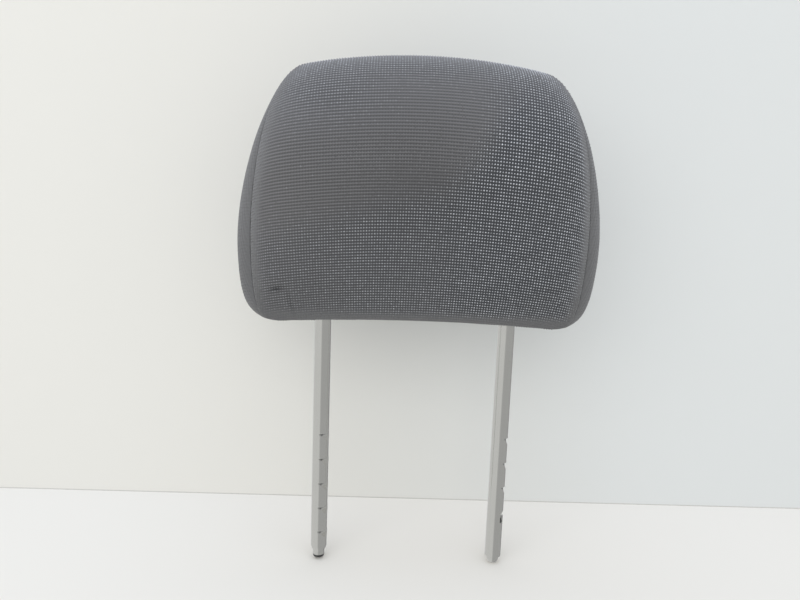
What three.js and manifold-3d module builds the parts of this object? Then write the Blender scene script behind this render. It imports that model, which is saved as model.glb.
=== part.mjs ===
// Car headrest: a padded head restraint on two notched steel posts.
// Millimetres, +Z up along the posts, +X to the viewer's right, -Y towards the occupant.
// The origin lies midway between the post axes at the underside of the pad.

import * as THREE from 'three';
import { mergeVertices } from 'three/addons/utils/BufferGeometryUtils.js';
import Module from 'manifold-3d';

const wasm = await Module();
wasm.setup();

// Driving dimensions of the steel tube
const postSpacing = 140;
const postDiameter = 12.7;
const tubeWall = 1.6;
const leftPostDrop = 191.5;
const rightPostDrop = 195.5;
const crossbarHeight = 128;
const bendRadius = 32;

// Driving dimensions of the two post ends
const neckDiameter = 9.4;
const neckLength = 1.6;
const neckTaper = 6;
const neckTaperMiddle = 2.1;
const noseShoulder = 1.2;
const noseLength = 5;
const noseFlatRadius = 1.6;
const noseWall = 2;
const noseBoreRadius = 1.9;
const plugHeadLength = 2.2;
const plugFaceRadius = 2.6;
const plugStemLength = 14;
const plugBeadHeight = 10;
const plugBeadSize = 0.5;
const plugTipTaper = 0.6;

// Driving dimensions of the lock notches
const notchPitch = 20;
const firstNotchDrop = 90.7;
const leftNotchCount = 5;
const rightNotchCount = 3;
const notchDepth = 1.4;
const notchFloor = 2.1;
const notchRamp = 3.7;
const leftNotchAngle = -38;
const rightNotchAngle = -8;
const stopNotchDepth = 2.1;
const stopNotchRamp = 2.6;
const stopNotchFloor = 2.5;
const slotHeight = 4.2;
const slotWidth = 3.6;
const slotFloorRadius = 1.6;
const slotAngle = -27;

// Driving dimensions of the pad, seen from the side
const padHeight = 190.1;
const undersideHeight = 1.2;
const undersideOffset = -10;
const frontDepth = 54;
const rearDepth = 40;
const frontBeltHeight = 130;
const rearBeltHeight = 82;
const crestOffset = -8.7;
const frontLowerLeave = 0.25;
const frontLowerArrive = 0.18;
const frontUpperFullness = 0.56;
const rearLowerFullness = 0.95;
const rearUpperFullness = 0.62;

// The shallow dish across the front, below the head's resting place
const dishDepth = 16.3;
const dishStartHeight = 2;
const dishFullHeight = 37.5;
const dishFadeHeight = 102;
const dishEndHeight = 167;

// Driving dimensions of the pad, seen from the front
const padHalfWidth = 133;
const seamHalfWidth = 120.5;
const sideBeltHeight = 49.8;
const undersideSeam = 104;
const undersideArch = 4.2;
const topSeam = 87.5;
const topArch = 9.2;
const lowerSideFullness = 0.8;
const upperSideFullness = 0.38;
const shoulderFullness = 0.19;
const shoulderAngle = 37.3;

// Driving dimensions of the rounding between the front, the back and the sides
const frontRollBack = 18;
const rearRollBack = 14;
const rearCrownShare = 0.3;
const edgeExponent = 9;
const sideRollWidth = 26;
const sideExponent = 4;

// Driving dimensions of the sewn cover and its closure
const coverThickness = 3;
const closureOffset = 2;
const closureStandoff = 1;
const closureSlot = 1.2;
const closureLength = 112;
const closureWall = 1.4;
const closureFlange = 9;
const closureHookHeight = 5;
const closureGrooveMargin = 1.5;

// Driving dimensions of the moulded carrier that is clamped round the tube
const carrierWidth = 186;
const carrierAboveBar = 18;
const carrierBelowBar = 88;
const carrierCorner = 30;
const carrierLowCorner = 15;
const carrierFrontDepth = 16;
const carrierRearDepth = 14;
const carrierWall = 2.4;
const carrierBevel = 3;
const ribThickness = 2;
const horizontalRibCount = 3;
const verticalRibCount = 4;
const bossRadius = 4.5;
const bossSpacingX = 84;
const bossSpacingZ = 52;
const bossBelowBar = 44;
const pilotRadius = 1.9;
const screwShankRadius = 1.6;
const screwTipRadius = 0.6;
const screwTipLength = 3.2;
const screwHeadRadius = 3.6;
const screwHeadTopRadius = 2.9;
const screwHeadHeight = 2.4;
const screwHeadRim = 1.4;
const screwLength = 20;
const screwSocketRadius = 1.5;
const screwSocketDepth = 1.2;

// Clearances between pieces that meet
const seatGap = 0.3;
const postHoleGap = 0.6;
const foamGap = 0.5;

// How far a cutting tool runs past the face that it opens
const overrun = 1;

// Fineness of the faceted surfaces
const tubeSides = 24;
const bendSteps = 6;
const noseSteps = 3;
const bossSides = 12;
const plateCornerSteps = 5;
const plateBevelSteps = 2;
const plugHeadSteps = 2;
const outlineSteps = 24;
const acrossSteps = 16;
const lowerSteps = 10;
const upperSteps = 9;
const sideCornerShare = 0.5;
const sideRingShares = [0, 0.35, 1];
const sideRingReach = 7;

// Sizes that follow from the driving ones
const postRadius = postDiameter / 2;
const boreRadius = postRadius - tubeWall;
const neckRadius = neckDiameter / 2;
const mouthRadius = neckRadius - tubeWall;
const halfSpacing = postSpacing / 2;
const cavityGap = coverThickness + foamGap;
const carrierTop = crossbarHeight + carrierAboveBar;
const carrierBottom = crossbarHeight - carrierBelowBar;
const bossCentreHeight = crossbarHeight - bossBelowBar;

// Geometry helpers

function buildGeometry(points, triangles) {
  const geometry = new THREE.BufferGeometry();
  const positions = points.flatMap((p) => [p.x, p.y, p.z]);
  geometry.setAttribute('position', new THREE.Float32BufferAttribute(positions, 3));
  geometry.setIndex(triangles.flat());
  return geometry;
}

function signedVolume(vertices, triangles) {
  const a = new THREE.Vector3();
  const b = new THREE.Vector3();
  const c = new THREE.Vector3();
  let volume = 0;
  for (let i = 0; i < triangles.length; i += 3) {
    a.fromArray(vertices, triangles[i] * 3);
    b.fromArray(vertices, triangles[i + 1] * 3);
    c.fromArray(vertices, triangles[i + 2] * 3);
    volume += a.dot(b.cross(c)) / 6;
  }
  return volume;
}

// Turn a closed three.js geometry into a solid whose faces point out
function toSolid(geometry) {
  const bare = geometry.clone();
  bare.deleteAttribute('normal');
  bare.deleteAttribute('uv');
  const merged = mergeVertices(bare, 1e-4);
  const vertProperties = new Float32Array(merged.attributes.position.array);
  const triVerts = new Uint32Array(merged.index.array);
  if (signedVolume(vertProperties, triVerts) < 0) {
    for (let i = 0; i < triVerts.length; i += 3) {
      [triVerts[i + 1], triVerts[i + 2]] = [triVerts[i + 2], triVerts[i + 1]];
    }
  }
  return new wasm.Manifold(new wasm.Mesh({ numProp: 3, vertProperties, triVerts }));
}

function toGeometry(solid) {
  const mesh = solid.getMesh();
  const geometry = new THREE.BufferGeometry();
  geometry.setAttribute('position', new THREE.BufferAttribute(mesh.vertProperties, 3));
  geometry.setIndex(new THREE.BufferAttribute(mesh.triVerts, 1));
  geometry.computeVertexNormals();
  return geometry;
}

function join(solids) {
  return solids.reduce((sum, solid) => sum.add(solid));
}

function cut(body, tools) {
  return tools.reduce((rest, tool) => rest.subtract(tool), body);
}

function cylinderSolid(radius, from, to, sides = tubeSides) {
  const length = from.distanceTo(to);
  const geometry = new THREE.CylinderGeometry(radius, radius, length, sides);
  const direction = to.clone().sub(from).normalize();
  const turn = new THREE.Quaternion().setFromUnitVectors(new THREE.Vector3(0, 1, 0), direction);
  geometry.applyQuaternion(turn);
  const middle = from.clone().add(to).multiplyScalar(0.5);
  geometry.translate(middle.x, middle.y, middle.z);
  return toSolid(geometry);
}

function boxSolid(low, high) {
  const geometry = new THREE.BoxGeometry(high[0] - low[0], high[1] - low[1], high[2] - low[2]);
  geometry.translate((low[0] + high[0]) / 2, (low[1] + high[1]) / 2, (low[2] + high[2]) / 2);
  return toSolid(geometry);
}

// The bent tube

// The route of the tube's axis from the left end to the right end, as stations with a
// place, a direction and the radius there; insideBy moves the surface towards the axis.
function tubeStations(leftEnd, rightEnd, insideBy = 0) {
  const radius = postRadius - insideBy;
  const stations = [];
  for (const end of leftEnd) {
    stations.push({
      place: new THREE.Vector3(-halfSpacing, 0, end.height),
      direction: new THREE.Vector3(0, 0, 1),
      radius: end.radius,
    });
  }
  for (const side of [-1, 1]) {
    for (let step = 0; step <= bendSteps; step += 1) {
      const share = step / bendSteps;
      const angle = (side < 0 ? share : 1 - share) * Math.PI / 2;
      const reach = bendRadius * (1 - Math.cos(angle));
      const rise = bendRadius * Math.sin(angle);
      const x = side * (halfSpacing - reach);
      const z = crossbarHeight - bendRadius + rise;
      stations.push({
        place: new THREE.Vector3(x, 0, z),
        direction: new THREE.Vector3(Math.sin(angle), 0, -side * Math.cos(angle)),
        radius,
      });
    }
  }
  for (const end of rightEnd) {
    stations.push({
      place: new THREE.Vector3(halfSpacing, 0, end.height),
      direction: new THREE.Vector3(0, 0, -1),
      radius: end.radius,
    });
  }
  return stations;
}

// Loft circles through the stations and close both ends
function sweepSolid(stations) {
  const points = [];
  const triangles = [];
  const across = new THREE.Vector3(0, 1, 0);
  for (const station of stations) {
    const outward = new THREE.Vector3().crossVectors(station.direction, across);
    for (let side = 0; side < tubeSides; side += 1) {
      const angle = (side / tubeSides) * 2 * Math.PI;
      const spoke = across.clone().multiplyScalar(Math.cos(angle) * station.radius);
      spoke.addScaledVector(outward, Math.sin(angle) * station.radius);
      points.push(station.place.clone().add(spoke));
    }
  }
  for (let ring = 0; ring + 1 < stations.length; ring += 1) {
    for (let side = 0; side < tubeSides; side += 1) {
      const next = (side + 1) % tubeSides;
      const a = ring * tubeSides + side;
      const b = ring * tubeSides + next;
      triangles.push([a, b, b + tubeSides], [a, b + tubeSides, a + tubeSides]);
    }
  }
  const last = stations.length - 1;
  points.push(stations[0].place.clone(), stations[last].place.clone());
  const firstHub = points.length - 2;
  const lastHub = points.length - 1;
  for (let side = 0; side < tubeSides; side += 1) {
    const next = (side + 1) % tubeSides;
    triangles.push([firstHub, next, side]);
    triangles.push([lastHub, last * tubeSides + side, last * tubeSides + next]);
  }
  return toSolid(buildGeometry(points, triangles));
}

// A quarter of a rounded nose, from the shoulder down to a small flat
function noseProfile() {
  const profile = [];
  for (let step = 0; step <= noseSteps; step += 1) {
    const angle = (step / noseSteps) * Math.PI / 2;
    const radius = THREE.MathUtils.lerp(noseFlatRadius, neckRadius, Math.cos(angle));
    const height = -rightPostDrop + (noseLength - noseShoulder) * (1 - Math.sin(angle));
    profile.push({ radius, height });
  }
  return profile;
}

function tubeOuter() {
  const taperMiddle = -leftPostDrop + neckLength + neckTaperMiddle;
  const leftEnd = [
    { height: -leftPostDrop, radius: neckRadius },
    { height: -leftPostDrop + neckLength, radius: neckRadius },
    { height: taperMiddle, radius: (neckRadius + postRadius) / 2 },
    { height: -leftPostDrop + neckLength + neckTaper, radius: postRadius },
  ];
  const rightEnd = [
    { height: -rightPostDrop + noseLength + noseShoulder, radius: postRadius },
    { height: -rightPostDrop + noseLength, radius: (neckRadius + postRadius) / 2 },
    ...noseProfile(),
  ];
  return sweepSolid(tubeStations(leftEnd, rightEnd));
}

function tubeBore() {
  const leftEnd = [
    { height: -leftPostDrop - overrun, radius: mouthRadius },
    { height: -leftPostDrop + neckLength, radius: mouthRadius },
    { height: -leftPostDrop + neckLength + neckTaper, radius: boreRadius },
  ];
  const blindEnd = -rightPostDrop + noseLength + noseShoulder + noseWall;
  const rightEnd = [
    { height: blindEnd + boreRadius, radius: boreRadius },
    { height: blindEnd, radius: noseBoreRadius },
  ];
  return sweepSolid(tubeStations(leftEnd, rightEnd, tubeWall));
}

// Extrude a cutter's profile, drawn outwards from the post's axis and upwards from a
// height, across the post and turn it to face the given way
function notchCutter(corners, width, postX, height, angle) {
  const shape = new THREE.Shape(corners.map(([out, up]) => new THREE.Vector2(out, up)));
  const geometry = new THREE.ExtrudeGeometry(shape, { depth: width, bevelEnabled: false });
  geometry.translate(0, 0, -width / 2);
  geometry.rotateX(Math.PI / 2);
  geometry.rotateZ(THREE.MathUtils.degToRad(angle));
  geometry.translate(postX, 0, height);
  return toSolid(geometry);
}

// A lock notch: a square upper ledge, a short floor and a ramp back to the surface
function lockNotch(postX, index, angle) {
  const outside = postRadius + overrun;
  const floorRadius = postRadius - notchDepth;
  const rampEnd = notchFloor + notchRamp * (outside - floorRadius) / notchDepth;
  const corners = [
    [outside, 0],
    [floorRadius, 0],
    [floorRadius, -notchFloor],
    [outside, -rampEnd],
  ];
  const height = -firstNotchDrop - index * notchPitch;
  return notchCutter(corners, postDiameter, postX, height, angle);
}

// The lowest notch stops the headrest from being pulled out: its ramp is above and its
// square ledge below, and it cuts through the wall into the bore
function stopNotch() {
  const outside = postRadius + overrun;
  const floorRadius = postRadius - stopNotchDepth;
  const rampStart = stopNotchRamp * (outside - postRadius) / stopNotchDepth;
  const ledge = stopNotchRamp + stopNotchFloor;
  const corners = [
    [outside, rampStart],
    [floorRadius, -stopNotchRamp],
    [floorRadius, -ledge],
    [outside, -ledge],
  ];
  const height = -firstNotchDrop - rightNotchCount * notchPitch;
  return notchCutter(corners, postDiameter, halfSpacing, height, rightNotchAngle);
}

// The slot under the stop notch opens the bore towards the front
function releaseSlot() {
  const outside = postRadius + overrun;
  const corners = [
    [outside, slotHeight],
    [slotFloorRadius, slotHeight],
    [slotFloorRadius, 0],
    [outside, 0],
  ];
  const notchTop = -firstNotchDrop - rightNotchCount * notchPitch;
  const height = notchTop - stopNotchRamp - stopNotchFloor - slotHeight;
  return notchCutter(corners, slotWidth, halfSpacing, height, slotAngle);
}

function notchCutters() {
  const cutters = [stopNotch(), releaseSlot()];
  for (let i = 0; i < leftNotchCount; i += 1) {
    cutters.push(lockNotch(-halfSpacing, i, leftNotchAngle));
  }
  for (let i = 0; i < rightNotchCount; i += 1) {
    cutters.push(lockNotch(halfSpacing, i, rightNotchAngle));
  }
  return cutters;
}

function makePostFrame() {
  return cut(tubeOuter(), [tubeBore(), ...notchCutters()]);
}

// The black plug in the open end of the left post
function makeEndPlug() {
  const stemRadius = mouthRadius - seatGap;
  const beadRadius = stemRadius + plugBeadSize;
  const headTop = -leftPostDrop - seatGap;
  const headBottom = headTop - plugHeadLength;
  const beadHeight = headTop + plugBeadHeight;
  const stemTop = headTop + plugStemLength;
  const point = (radius, height) => new THREE.Vector2(radius, height);
  const rounding = new THREE.QuadraticBezierCurve(
    point(plugFaceRadius, headBottom),
    point(neckRadius, headBottom),
    point(neckRadius, headTop),
  );
  const profile = [
    point(0, headBottom),
    ...rounding.getPoints(plugHeadSteps),
    point(stemRadius, headTop),
    point(stemRadius, beadHeight - plugBeadSize),
    point(beadRadius, beadHeight),
    point(stemRadius, beadHeight + plugBeadSize * 2),
    point(stemRadius - plugTipTaper, stemTop),
    point(0, stemTop),
  ];
  const geometry = new THREE.LatheGeometry(profile, tubeSides);
  geometry.rotateX(Math.PI / 2);
  geometry.translate(-halfSpacing, 0, 0);
  return toSolid(geometry);
}

// The form of the pad

// A quarter turn from one point to another round the corner between them; the two
// fullnesses say how far towards the corner the curve leaves and arrives
function quarterTurn(from, corner, to, leaving, arriving, steps) {
  const leave = from.clone().lerp(corner, leaving);
  const arrive = to.clone().lerp(corner, arriving);
  return new THREE.CubicBezierCurve(from, leave, arrive, to).getPoints(steps);
}

// One closed loop of the pad seen from the side, in (y, z): from the lowest place of the
// underside forwards, up the front, over the crest and down the back.
function sideLoop(front, rear, bottom, top) {
  const point = (y, z) => new THREE.Vector2(y, z);
  const under = point(undersideOffset, bottom);
  const crest = point(crestOffset, top);
  const frontBelt = point(-front, frontBeltHeight);
  const rearBelt = point(rear, rearBeltHeight);
  const turn = (from, corner, to, leaving, arriving, steps) => {
    return quarterTurn(from, point(...corner), to, leaving, arriving, steps);
  };
  const [lowFront, highFront] = [[-front, bottom], [-front, top]];
  const [lowRear, highRear] = [[rear, bottom], [rear, top]];
  const [upFront, upRear, lowBack] = [frontUpperFullness, rearUpperFullness, rearLowerFullness];
  const quarters = [
    turn(under, lowFront, frontBelt, frontLowerLeave, frontLowerArrive, lowerSteps),
    turn(frontBelt, highFront, crest, upFront, upFront, upperSteps),
    turn(crest, highRear, rearBelt, upRear, upRear, upperSteps),
    turn(rearBelt, lowRear, under, lowBack, lowBack, lowerSteps),
  ];
  return quarters.flatMap((quarter) => quarter.slice(0, -1));
}

// Unit vectors that point into a loop that runs clockwise
function inwardNormals(loop) {
  return loop.map((_, i) => {
    const before = loop[(i + loop.length - 1) % loop.length];
    const after = loop[(i + 1) % loop.length];
    const along = after.clone().sub(before).normalize();
    return new THREE.Vector2(along.y, -along.x);
  });
}

function insetLoop(loop, distance) {
  const normals = inwardNormals(loop);
  return loop.map((point, i) => point.clone().addScaledVector(normals[i], distance));
}

const centreLoop = sideLoop(frontDepth, rearDepth, undersideHeight, padHeight);
const seamBottom = undersideHeight - undersideArch;
const seamTop = padHeight - topArch;
const seamLoop = sideLoop(
  frontDepth - frontRollBack,
  rearDepth - rearRollBack,
  seamBottom,
  seamTop,
);

// Half of the pad's outline seen from the front, in (x, z), from the underside to the top seam
function frontOutline(beltHalfWidth) {
  const low = new THREE.Vector2(undersideSeam, seamBottom);
  const belt = new THREE.Vector2(beltHalfWidth, sideBeltHeight);
  const high = new THREE.Vector2(topSeam, seamTop);
  const lowCorner = new THREE.Vector2(beltHalfWidth, seamBottom);
  const fullness = lowerSideFullness;
  const lower = quarterTurn(low, lowCorner, belt, fullness, fullness, outlineSteps);
  const rise = seamTop - sideBeltHeight;
  const leave = new THREE.Vector2(beltHalfWidth, sideBeltHeight + rise * upperSideFullness);
  const slope = THREE.MathUtils.degToRad(shoulderAngle);
  const reach = rise * shoulderFullness;
  const arrive = new THREE.Vector2(Math.cos(slope), -Math.sin(slope));
  arrive.multiplyScalar(reach).add(high);
  const upper = new THREE.CubicBezierCurve(belt, leave, arrive, high).getPoints(outlineSteps);
  return [...lower, ...upper.slice(1)];
}

// Read one coordinate of a polyline where its other coordinate, which only rises, has a value
function readAt(line, height) {
  if (height <= line[0].y) {
    return line[0].x;
  }
  for (let i = 1; i < line.length; i += 1) {
    if (height <= line[i].y) {
      const share = (height - line[i - 1].y) / (line[i].y - line[i - 1].y);
      return THREE.MathUtils.lerp(line[i - 1].x, line[i].x, share);
    }
  }
  return line[line.length - 1].x;
}

const seamOutline = frontOutline(seamHalfWidth);
const sideOutline = frontOutline(padHalfWidth);

// How far the sides of the front stand ahead of its middle at a place seen from the side
function dishAt(place) {
  if (place.x > 0) {
    return 0;
  }
  const grow = THREE.MathUtils.smoothstep(place.y, dishStartHeight, dishFullHeight);
  const fade = THREE.MathUtils.smoothstep(place.y, dishFadeHeight, dishEndHeight);
  return dishDepth * grow * (1 - fade);
}

// The strip that runs over the front, the top, the back and the underside. Each row
// crosses the pad from the left seam to the right one.
function stripGrid(inset, edgeGap) {
  const middle = insetLoop(centreLoop, inset);
  const edge = insetLoop(seamLoop, inset);
  const normals = inwardNormals(centreLoop);
  return middle.map((start, i) => {
    const halfWidth = readAt(seamOutline, seamLoop[i].y) - inset - edgeGap;
    const flatShare = centreLoop[i].x > 0 ? rearCrownShare : 0;
    const crownShare = flatShare + (1 - flatShare) * normals[i].y ** 2;
    const dish = dishAt(centreLoop[i]);
    const row = [];
    for (let step = 0; step <= acrossSteps; step += 1) {
      const across = Math.sin((step / acrossSteps - 0.5) * Math.PI);
      const edgeShare = Math.abs(across) ** edgeExponent;
      const roll = (1 - crownShare) * edgeShare;
      const place = start.clone().lerp(edge[i], crownShare * across ** 2 + roll);
      const ahead = dish * (across ** 2 - edgeShare);
      row.push(new THREE.Vector3(across * halfWidth, place.x - ahead, place.y));
    }
    return row;
  });
}

// Fill a loop that bends through four corners with a grid between its opposite sides
function coonsGrid(loop, lowCount) {
  const count = loop.length;
  const highCount = count / 2 - lowCount;
  const start = count - Math.floor(lowCount / 2);
  const at = (i) => loop[(start + i + count) % count];
  const rows = [];
  for (let r = 0; r <= highCount; r += 1) {
    const rowShare = r / highCount;
    const row = [];
    for (let c = 0; c <= lowCount; c += 1) {
      const share = c / lowCount;
      const low = at(lowCount - c);
      const high = at(lowCount + highCount + c);
      const left = at(lowCount + r);
      const right = at(-r);
      const point = new THREE.Vector2();
      point.addScaledVector(low, 1 - rowShare).addScaledVector(high, rowShare);
      point.addScaledVector(left, 1 - share).addScaledVector(right, share);
      point.addScaledVector(at(lowCount), -(1 - share) * (1 - rowShare));
      point.addScaledVector(at(0), -share * (1 - rowShare));
      point.addScaledVector(at(lowCount + highCount), -(1 - share) * rowShare);
      point.addScaledVector(at(-highCount), -share * rowShare);
      row.push(point);
    }
    rows.push(row);
  }
  return rows;
}

// Rings and an inner grid that together cover the side of the pad, in (y, z)
function sideLayout(inset) {
  const count = seamLoop.length;
  const lowCount = 2 * Math.round(lowerSteps * sideCornerShare);
  const rings = sideRingShares.map((share) => {
    return insetLoop(seamLoop, THREE.MathUtils.lerp(inset, sideRingReach, share));
  });
  const grid = coonsGrid(rings[rings.length - 1], lowCount);
  const points = rings.slice(0, -1).flat();
  const firstGridPoint = points.length;
  points.push(...grid.flat());
  const triangles = [];
  const gridRows = grid.length;
  const gridColumns = grid[0].length;
  const highCount = gridRows - 1;
  const gridIndex = (r, c) => firstGridPoint + r * gridColumns + c;
  const start = count - lowCount / 2;
  const boundary = new Array(count);
  for (let c = 0; c <= lowCount; c += 1) {
    boundary[(start + lowCount - c) % count] = gridIndex(0, c);
    boundary[(start + lowCount + highCount + c) % count] = gridIndex(highCount, c);
  }
  for (let r = 0; r <= highCount; r += 1) {
    boundary[(start + lowCount + r) % count] = gridIndex(r, 0);
    boundary[(start - r + count) % count] = gridIndex(r, lowCount);
  }
  const ringIndex = (ring, i) => {
    const wrapped = i % count;
    return ring < rings.length - 1 ? ring * count + wrapped : boundary[wrapped];
  };
  for (let ring = 0; ring + 1 < rings.length; ring += 1) {
    for (let i = 0; i < count; i += 1) {
      const a = ringIndex(ring, i);
      const b = ringIndex(ring, i + 1);
      const c = ringIndex(ring + 1, i + 1);
      const d = ringIndex(ring + 1, i);
      triangles.push([a, b, c], [a, c, d]);
    }
  }
  for (let r = 0; r < highCount; r += 1) {
    for (let c = 0; c < lowCount; c += 1) {
      const a = gridIndex(r, c);
      const b = gridIndex(r, c + 1);
      triangles.push([a, a + gridColumns, b + gridColumns], [a, b + gridColumns, b]);
    }
  }
  return { points, triangles };
}

// How far a place seen from the side lies from the seam
function seamDistance(place) {
  const target = new THREE.Vector3();
  const point = new THREE.Vector3(place.x, place.y, 0);
  const distances = seamLoop.map((from, i) => {
    const to = seamLoop[(i + 1) % seamLoop.length];
    const start = new THREE.Vector3(from.x, from.y, 0);
    const end = new THREE.Vector3(to.x, to.y, 0);
    new THREE.Line3(start, end).closestPointToPoint(point, true, target);
    return target.distanceTo(point);
  });
  return Math.min(...distances);
}

// How far out the side of the pad stands at a place seen from the side
function sideReach(place) {
  const seam = readAt(seamOutline, place.y);
  const outline = readAt(sideOutline, place.y);
  const share = Math.min(1, seamDistance(place) / sideRollWidth);
  return seam + (outline - seam) * (1 - (1 - share) ** sideExponent);
}

function sidePatch(side, inset) {
  const places = sideLayout(inset);
  const reaches = sideLayout(0).points.map((p, i) => {
    const onSeam = i < seamLoop.length;
    return onSeam ? readAt(seamOutline, p.y) : sideReach(p);
  });
  const points = places.points.map(
    (p, i) => new THREE.Vector3(side * (reaches[i] - inset), p.x, p.y),
  );
  const triangles = side > 0 ? places.triangles : places.triangles.map(([a, b, c]) => [a, c, b]);
  return { points, triangles };
}

// The strip's two faces joined along both seams: a band with a wall thickness
function makeStripShell(outerInset, innerInset, edgeGap) {
  const outer = stripGrid(outerInset, edgeGap);
  const inner = stripGrid(innerInset, edgeGap);
  const rows = outer.length;
  const columns = outer[0].length;
  const points = [...outer.flat(), ...inner.flat()];
  const innerStart = rows * columns;
  const triangles = [];
  const quad = (a, b, c, d) => triangles.push([a, b, c], [a, c, d]);
  for (let r = 0; r < rows; r += 1) {
    const here = r * columns;
    const next = ((r + 1) % rows) * columns;
    for (let c = 0; c + 1 < columns; c += 1) {
      quad(here + c, next + c, next + c + 1, here + c + 1);
      const [a, b] = [innerStart + here + c, innerStart + next + c];
      quad(a, a + 1, b + 1, b);
    }
    quad(here, innerStart + here, innerStart + next, next);
    const end = columns - 1;
    quad(here + end, next + end, innerStart + next + end, innerStart + here + end);
  }
  return toSolid(buildGeometry(points, triangles));
}

// The side panel's two faces joined along the seam
function makeSideShell(side, outerInset, innerInset) {
  const outer = sidePatch(side, outerInset);
  const inner = sidePatch(side, innerInset);
  const points = [...outer.points, ...inner.points];
  const innerStart = outer.points.length;
  const triangles = [...outer.triangles];
  for (const [a, b, c] of inner.triangles) {
    triangles.push([innerStart + a, innerStart + c, innerStart + b]);
  }
  const count = seamLoop.length;
  for (let i = 0; i < count; i += 1) {
    const next = (i + 1) % count;
    const wall = [
      [i, innerStart + i, innerStart + next],
      [i, innerStart + next, next],
    ];
    triangles.push(...(side > 0 ? wall : wall.map(([a, b, c]) => [a, c, b])));
  }
  return toSolid(buildGeometry(points, triangles));
}

// The whole pad as one closed body, a given distance inside the cover's outer face
function makePadBody(inset) {
  const strip = stripGrid(inset, 0);
  const rows = strip.length;
  const columns = strip[0].length;
  const points = strip.flat();
  const triangles = [];
  for (let r = 0; r < rows; r += 1) {
    const here = r * columns;
    const next = ((r + 1) % rows) * columns;
    for (let c = 0; c + 1 < columns; c += 1) {
      triangles.push([here + c, next + c, next + c + 1]);
      triangles.push([here + c, next + c + 1, here + c + 1]);
    }
  }
  for (const side of [-1, 1]) {
    const patch = sidePatch(side, inset);
    const start = points.length;
    points.push(...patch.points);
    triangles.push(...patch.triangles.map((triangle) => triangle.map((i) => start + i)));
  }
  return toSolid(buildGeometry(points, triangles));
}

// The holes that the posts pass through
function postHoles(low, high) {
  return [-1, 1].map((side) => {
    const from = new THREE.Vector3(side * halfSpacing, 0, low);
    const to = new THREE.Vector3(side * halfSpacing, 0, high);
    return cylinderSolid(postRadius + postHoleGap, from, to);
  });
}

// The cover

function makeMainCover() {
  const shell = makeStripShell(0, coverThickness, seatGap);
  const cutTop = undersideHeight + coverThickness * 3;
  const cutBottom = seamBottom - overrun;
  const slotReach = undersideSeam + overrun;
  const slot = boxSolid(
    [-slotReach, closureOffset - closureSlot / 2, cutBottom],
    [slotReach, closureOffset + closureSlot / 2, cutTop],
  );
  return cut(shell, [slot, ...postHoles(cutBottom, cutTop)]);
}

function makeSideCover(side) {
  return makeSideShell(side, 0, coverThickness);
}

// The two profiles sewn to the cover's edges, which hook together behind the slot
function closureBase() {
  return undersideHeight + coverThickness + closureStandoff;
}

function extrudeAcross(shape, length) {
  const geometry = new THREE.ExtrudeGeometry(shape, { depth: length, bevelEnabled: false });
  geometry.rotateX(Math.PI / 2);
  geometry.rotateZ(Math.PI / 2);
  geometry.translate(-length / 2, closureOffset, 0);
  return toSolid(geometry);
}

function polygon(corners) {
  return new THREE.Shape(corners.map(([y, z]) => new THREE.Vector2(y, z)));
}

// The front profile: a sewing flange with a hook that reaches back and down
function makeClosureHook() {
  const base = closureBase();
  const top = base + closureHookHeight;
  const lipReach = closureWall + seatGap;
  return extrudeAcross(polygon([
    [-closureFlange, base],
    [-seatGap / 2, base],
    [-seatGap / 2, top - closureWall],
    [lipReach, top - closureWall],
    [lipReach, top - closureWall * 2],
    [lipReach + closureWall, top - closureWall * 2],
    [lipReach + closureWall, top],
    [-closureWall - seatGap / 2, top],
    [-closureWall - seatGap / 2, base + closureWall],
    [-closureFlange, base + closureWall],
  ]), closureLength);
}

// The rear profile: a flange with an upright lip that the hook catches
function makeClosureChannel() {
  const base = closureBase();
  const lipTop = base + closureHookHeight - closureWall - seatGap;
  const inner = seatGap / 2;
  return extrudeAcross(polygon([
    [inner, base],
    [closureFlange, base],
    [closureFlange, base + closureWall],
    [inner + closureWall, base + closureWall],
    [inner + closureWall, lipTop],
    [inner, lipTop],
  ]), closureLength);
}

// The moulded carrier

function roundedPlate(grow) {
  const width = carrierWidth / 2 + grow;
  const low = carrierBottom - grow;
  const high = carrierTop + grow;
  const radius = carrierCorner + grow;
  const lowRadius = carrierLowCorner + grow;
  const shape = new THREE.Shape();
  shape.moveTo(-width + lowRadius, low);
  shape.lineTo(width - lowRadius, low);
  shape.absarc(width - lowRadius, low + lowRadius, lowRadius, -Math.PI / 2, 0);
  shape.lineTo(width, high - radius);
  shape.absarc(width - radius, high - radius, radius, 0, Math.PI / 2);
  shape.lineTo(-width + radius, high);
  shape.absarc(-width + radius, high - radius, radius, Math.PI / 2, Math.PI);
  shape.lineTo(-width, low + lowRadius);
  shape.absarc(-width + lowRadius, low + lowRadius, lowRadius, Math.PI, Math.PI * 1.5);
  return shape;
}

// A plate outline carried from a start depth to an end depth on one side of the tube,
// with its far edge rounded off where a bevel is given
function plateSolid(grow, start, end, side, bevel = 0) {
  const geometry = new THREE.ExtrudeGeometry(roundedPlate(grow), {
    depth: end - start - bevel,
    curveSegments: plateCornerSteps,
    bevelEnabled: bevel > 0,
    bevelThickness: bevel,
    bevelSize: bevel,
    bevelOffset: -bevel,
    bevelSegments: plateBevelSteps,
  });
  geometry.translate(0, 0, start);
  geometry.rotateX(Math.PI / 2);
  if (side > 0) {
    geometry.scale(1, -1, 1);
  }
  const plate = toSolid(geometry);
  if (bevel === 0) {
    return plate;
  }
  const reach = carrierWidth;
  const top = carrierTop * 2;
  const [lowY, highY] = side < 0 ? [-start, bevel * 2] : [-bevel * 2, start];
  return plate.subtract(boxSolid([-reach, lowY, -top], [reach, highY, top]));
}

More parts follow.
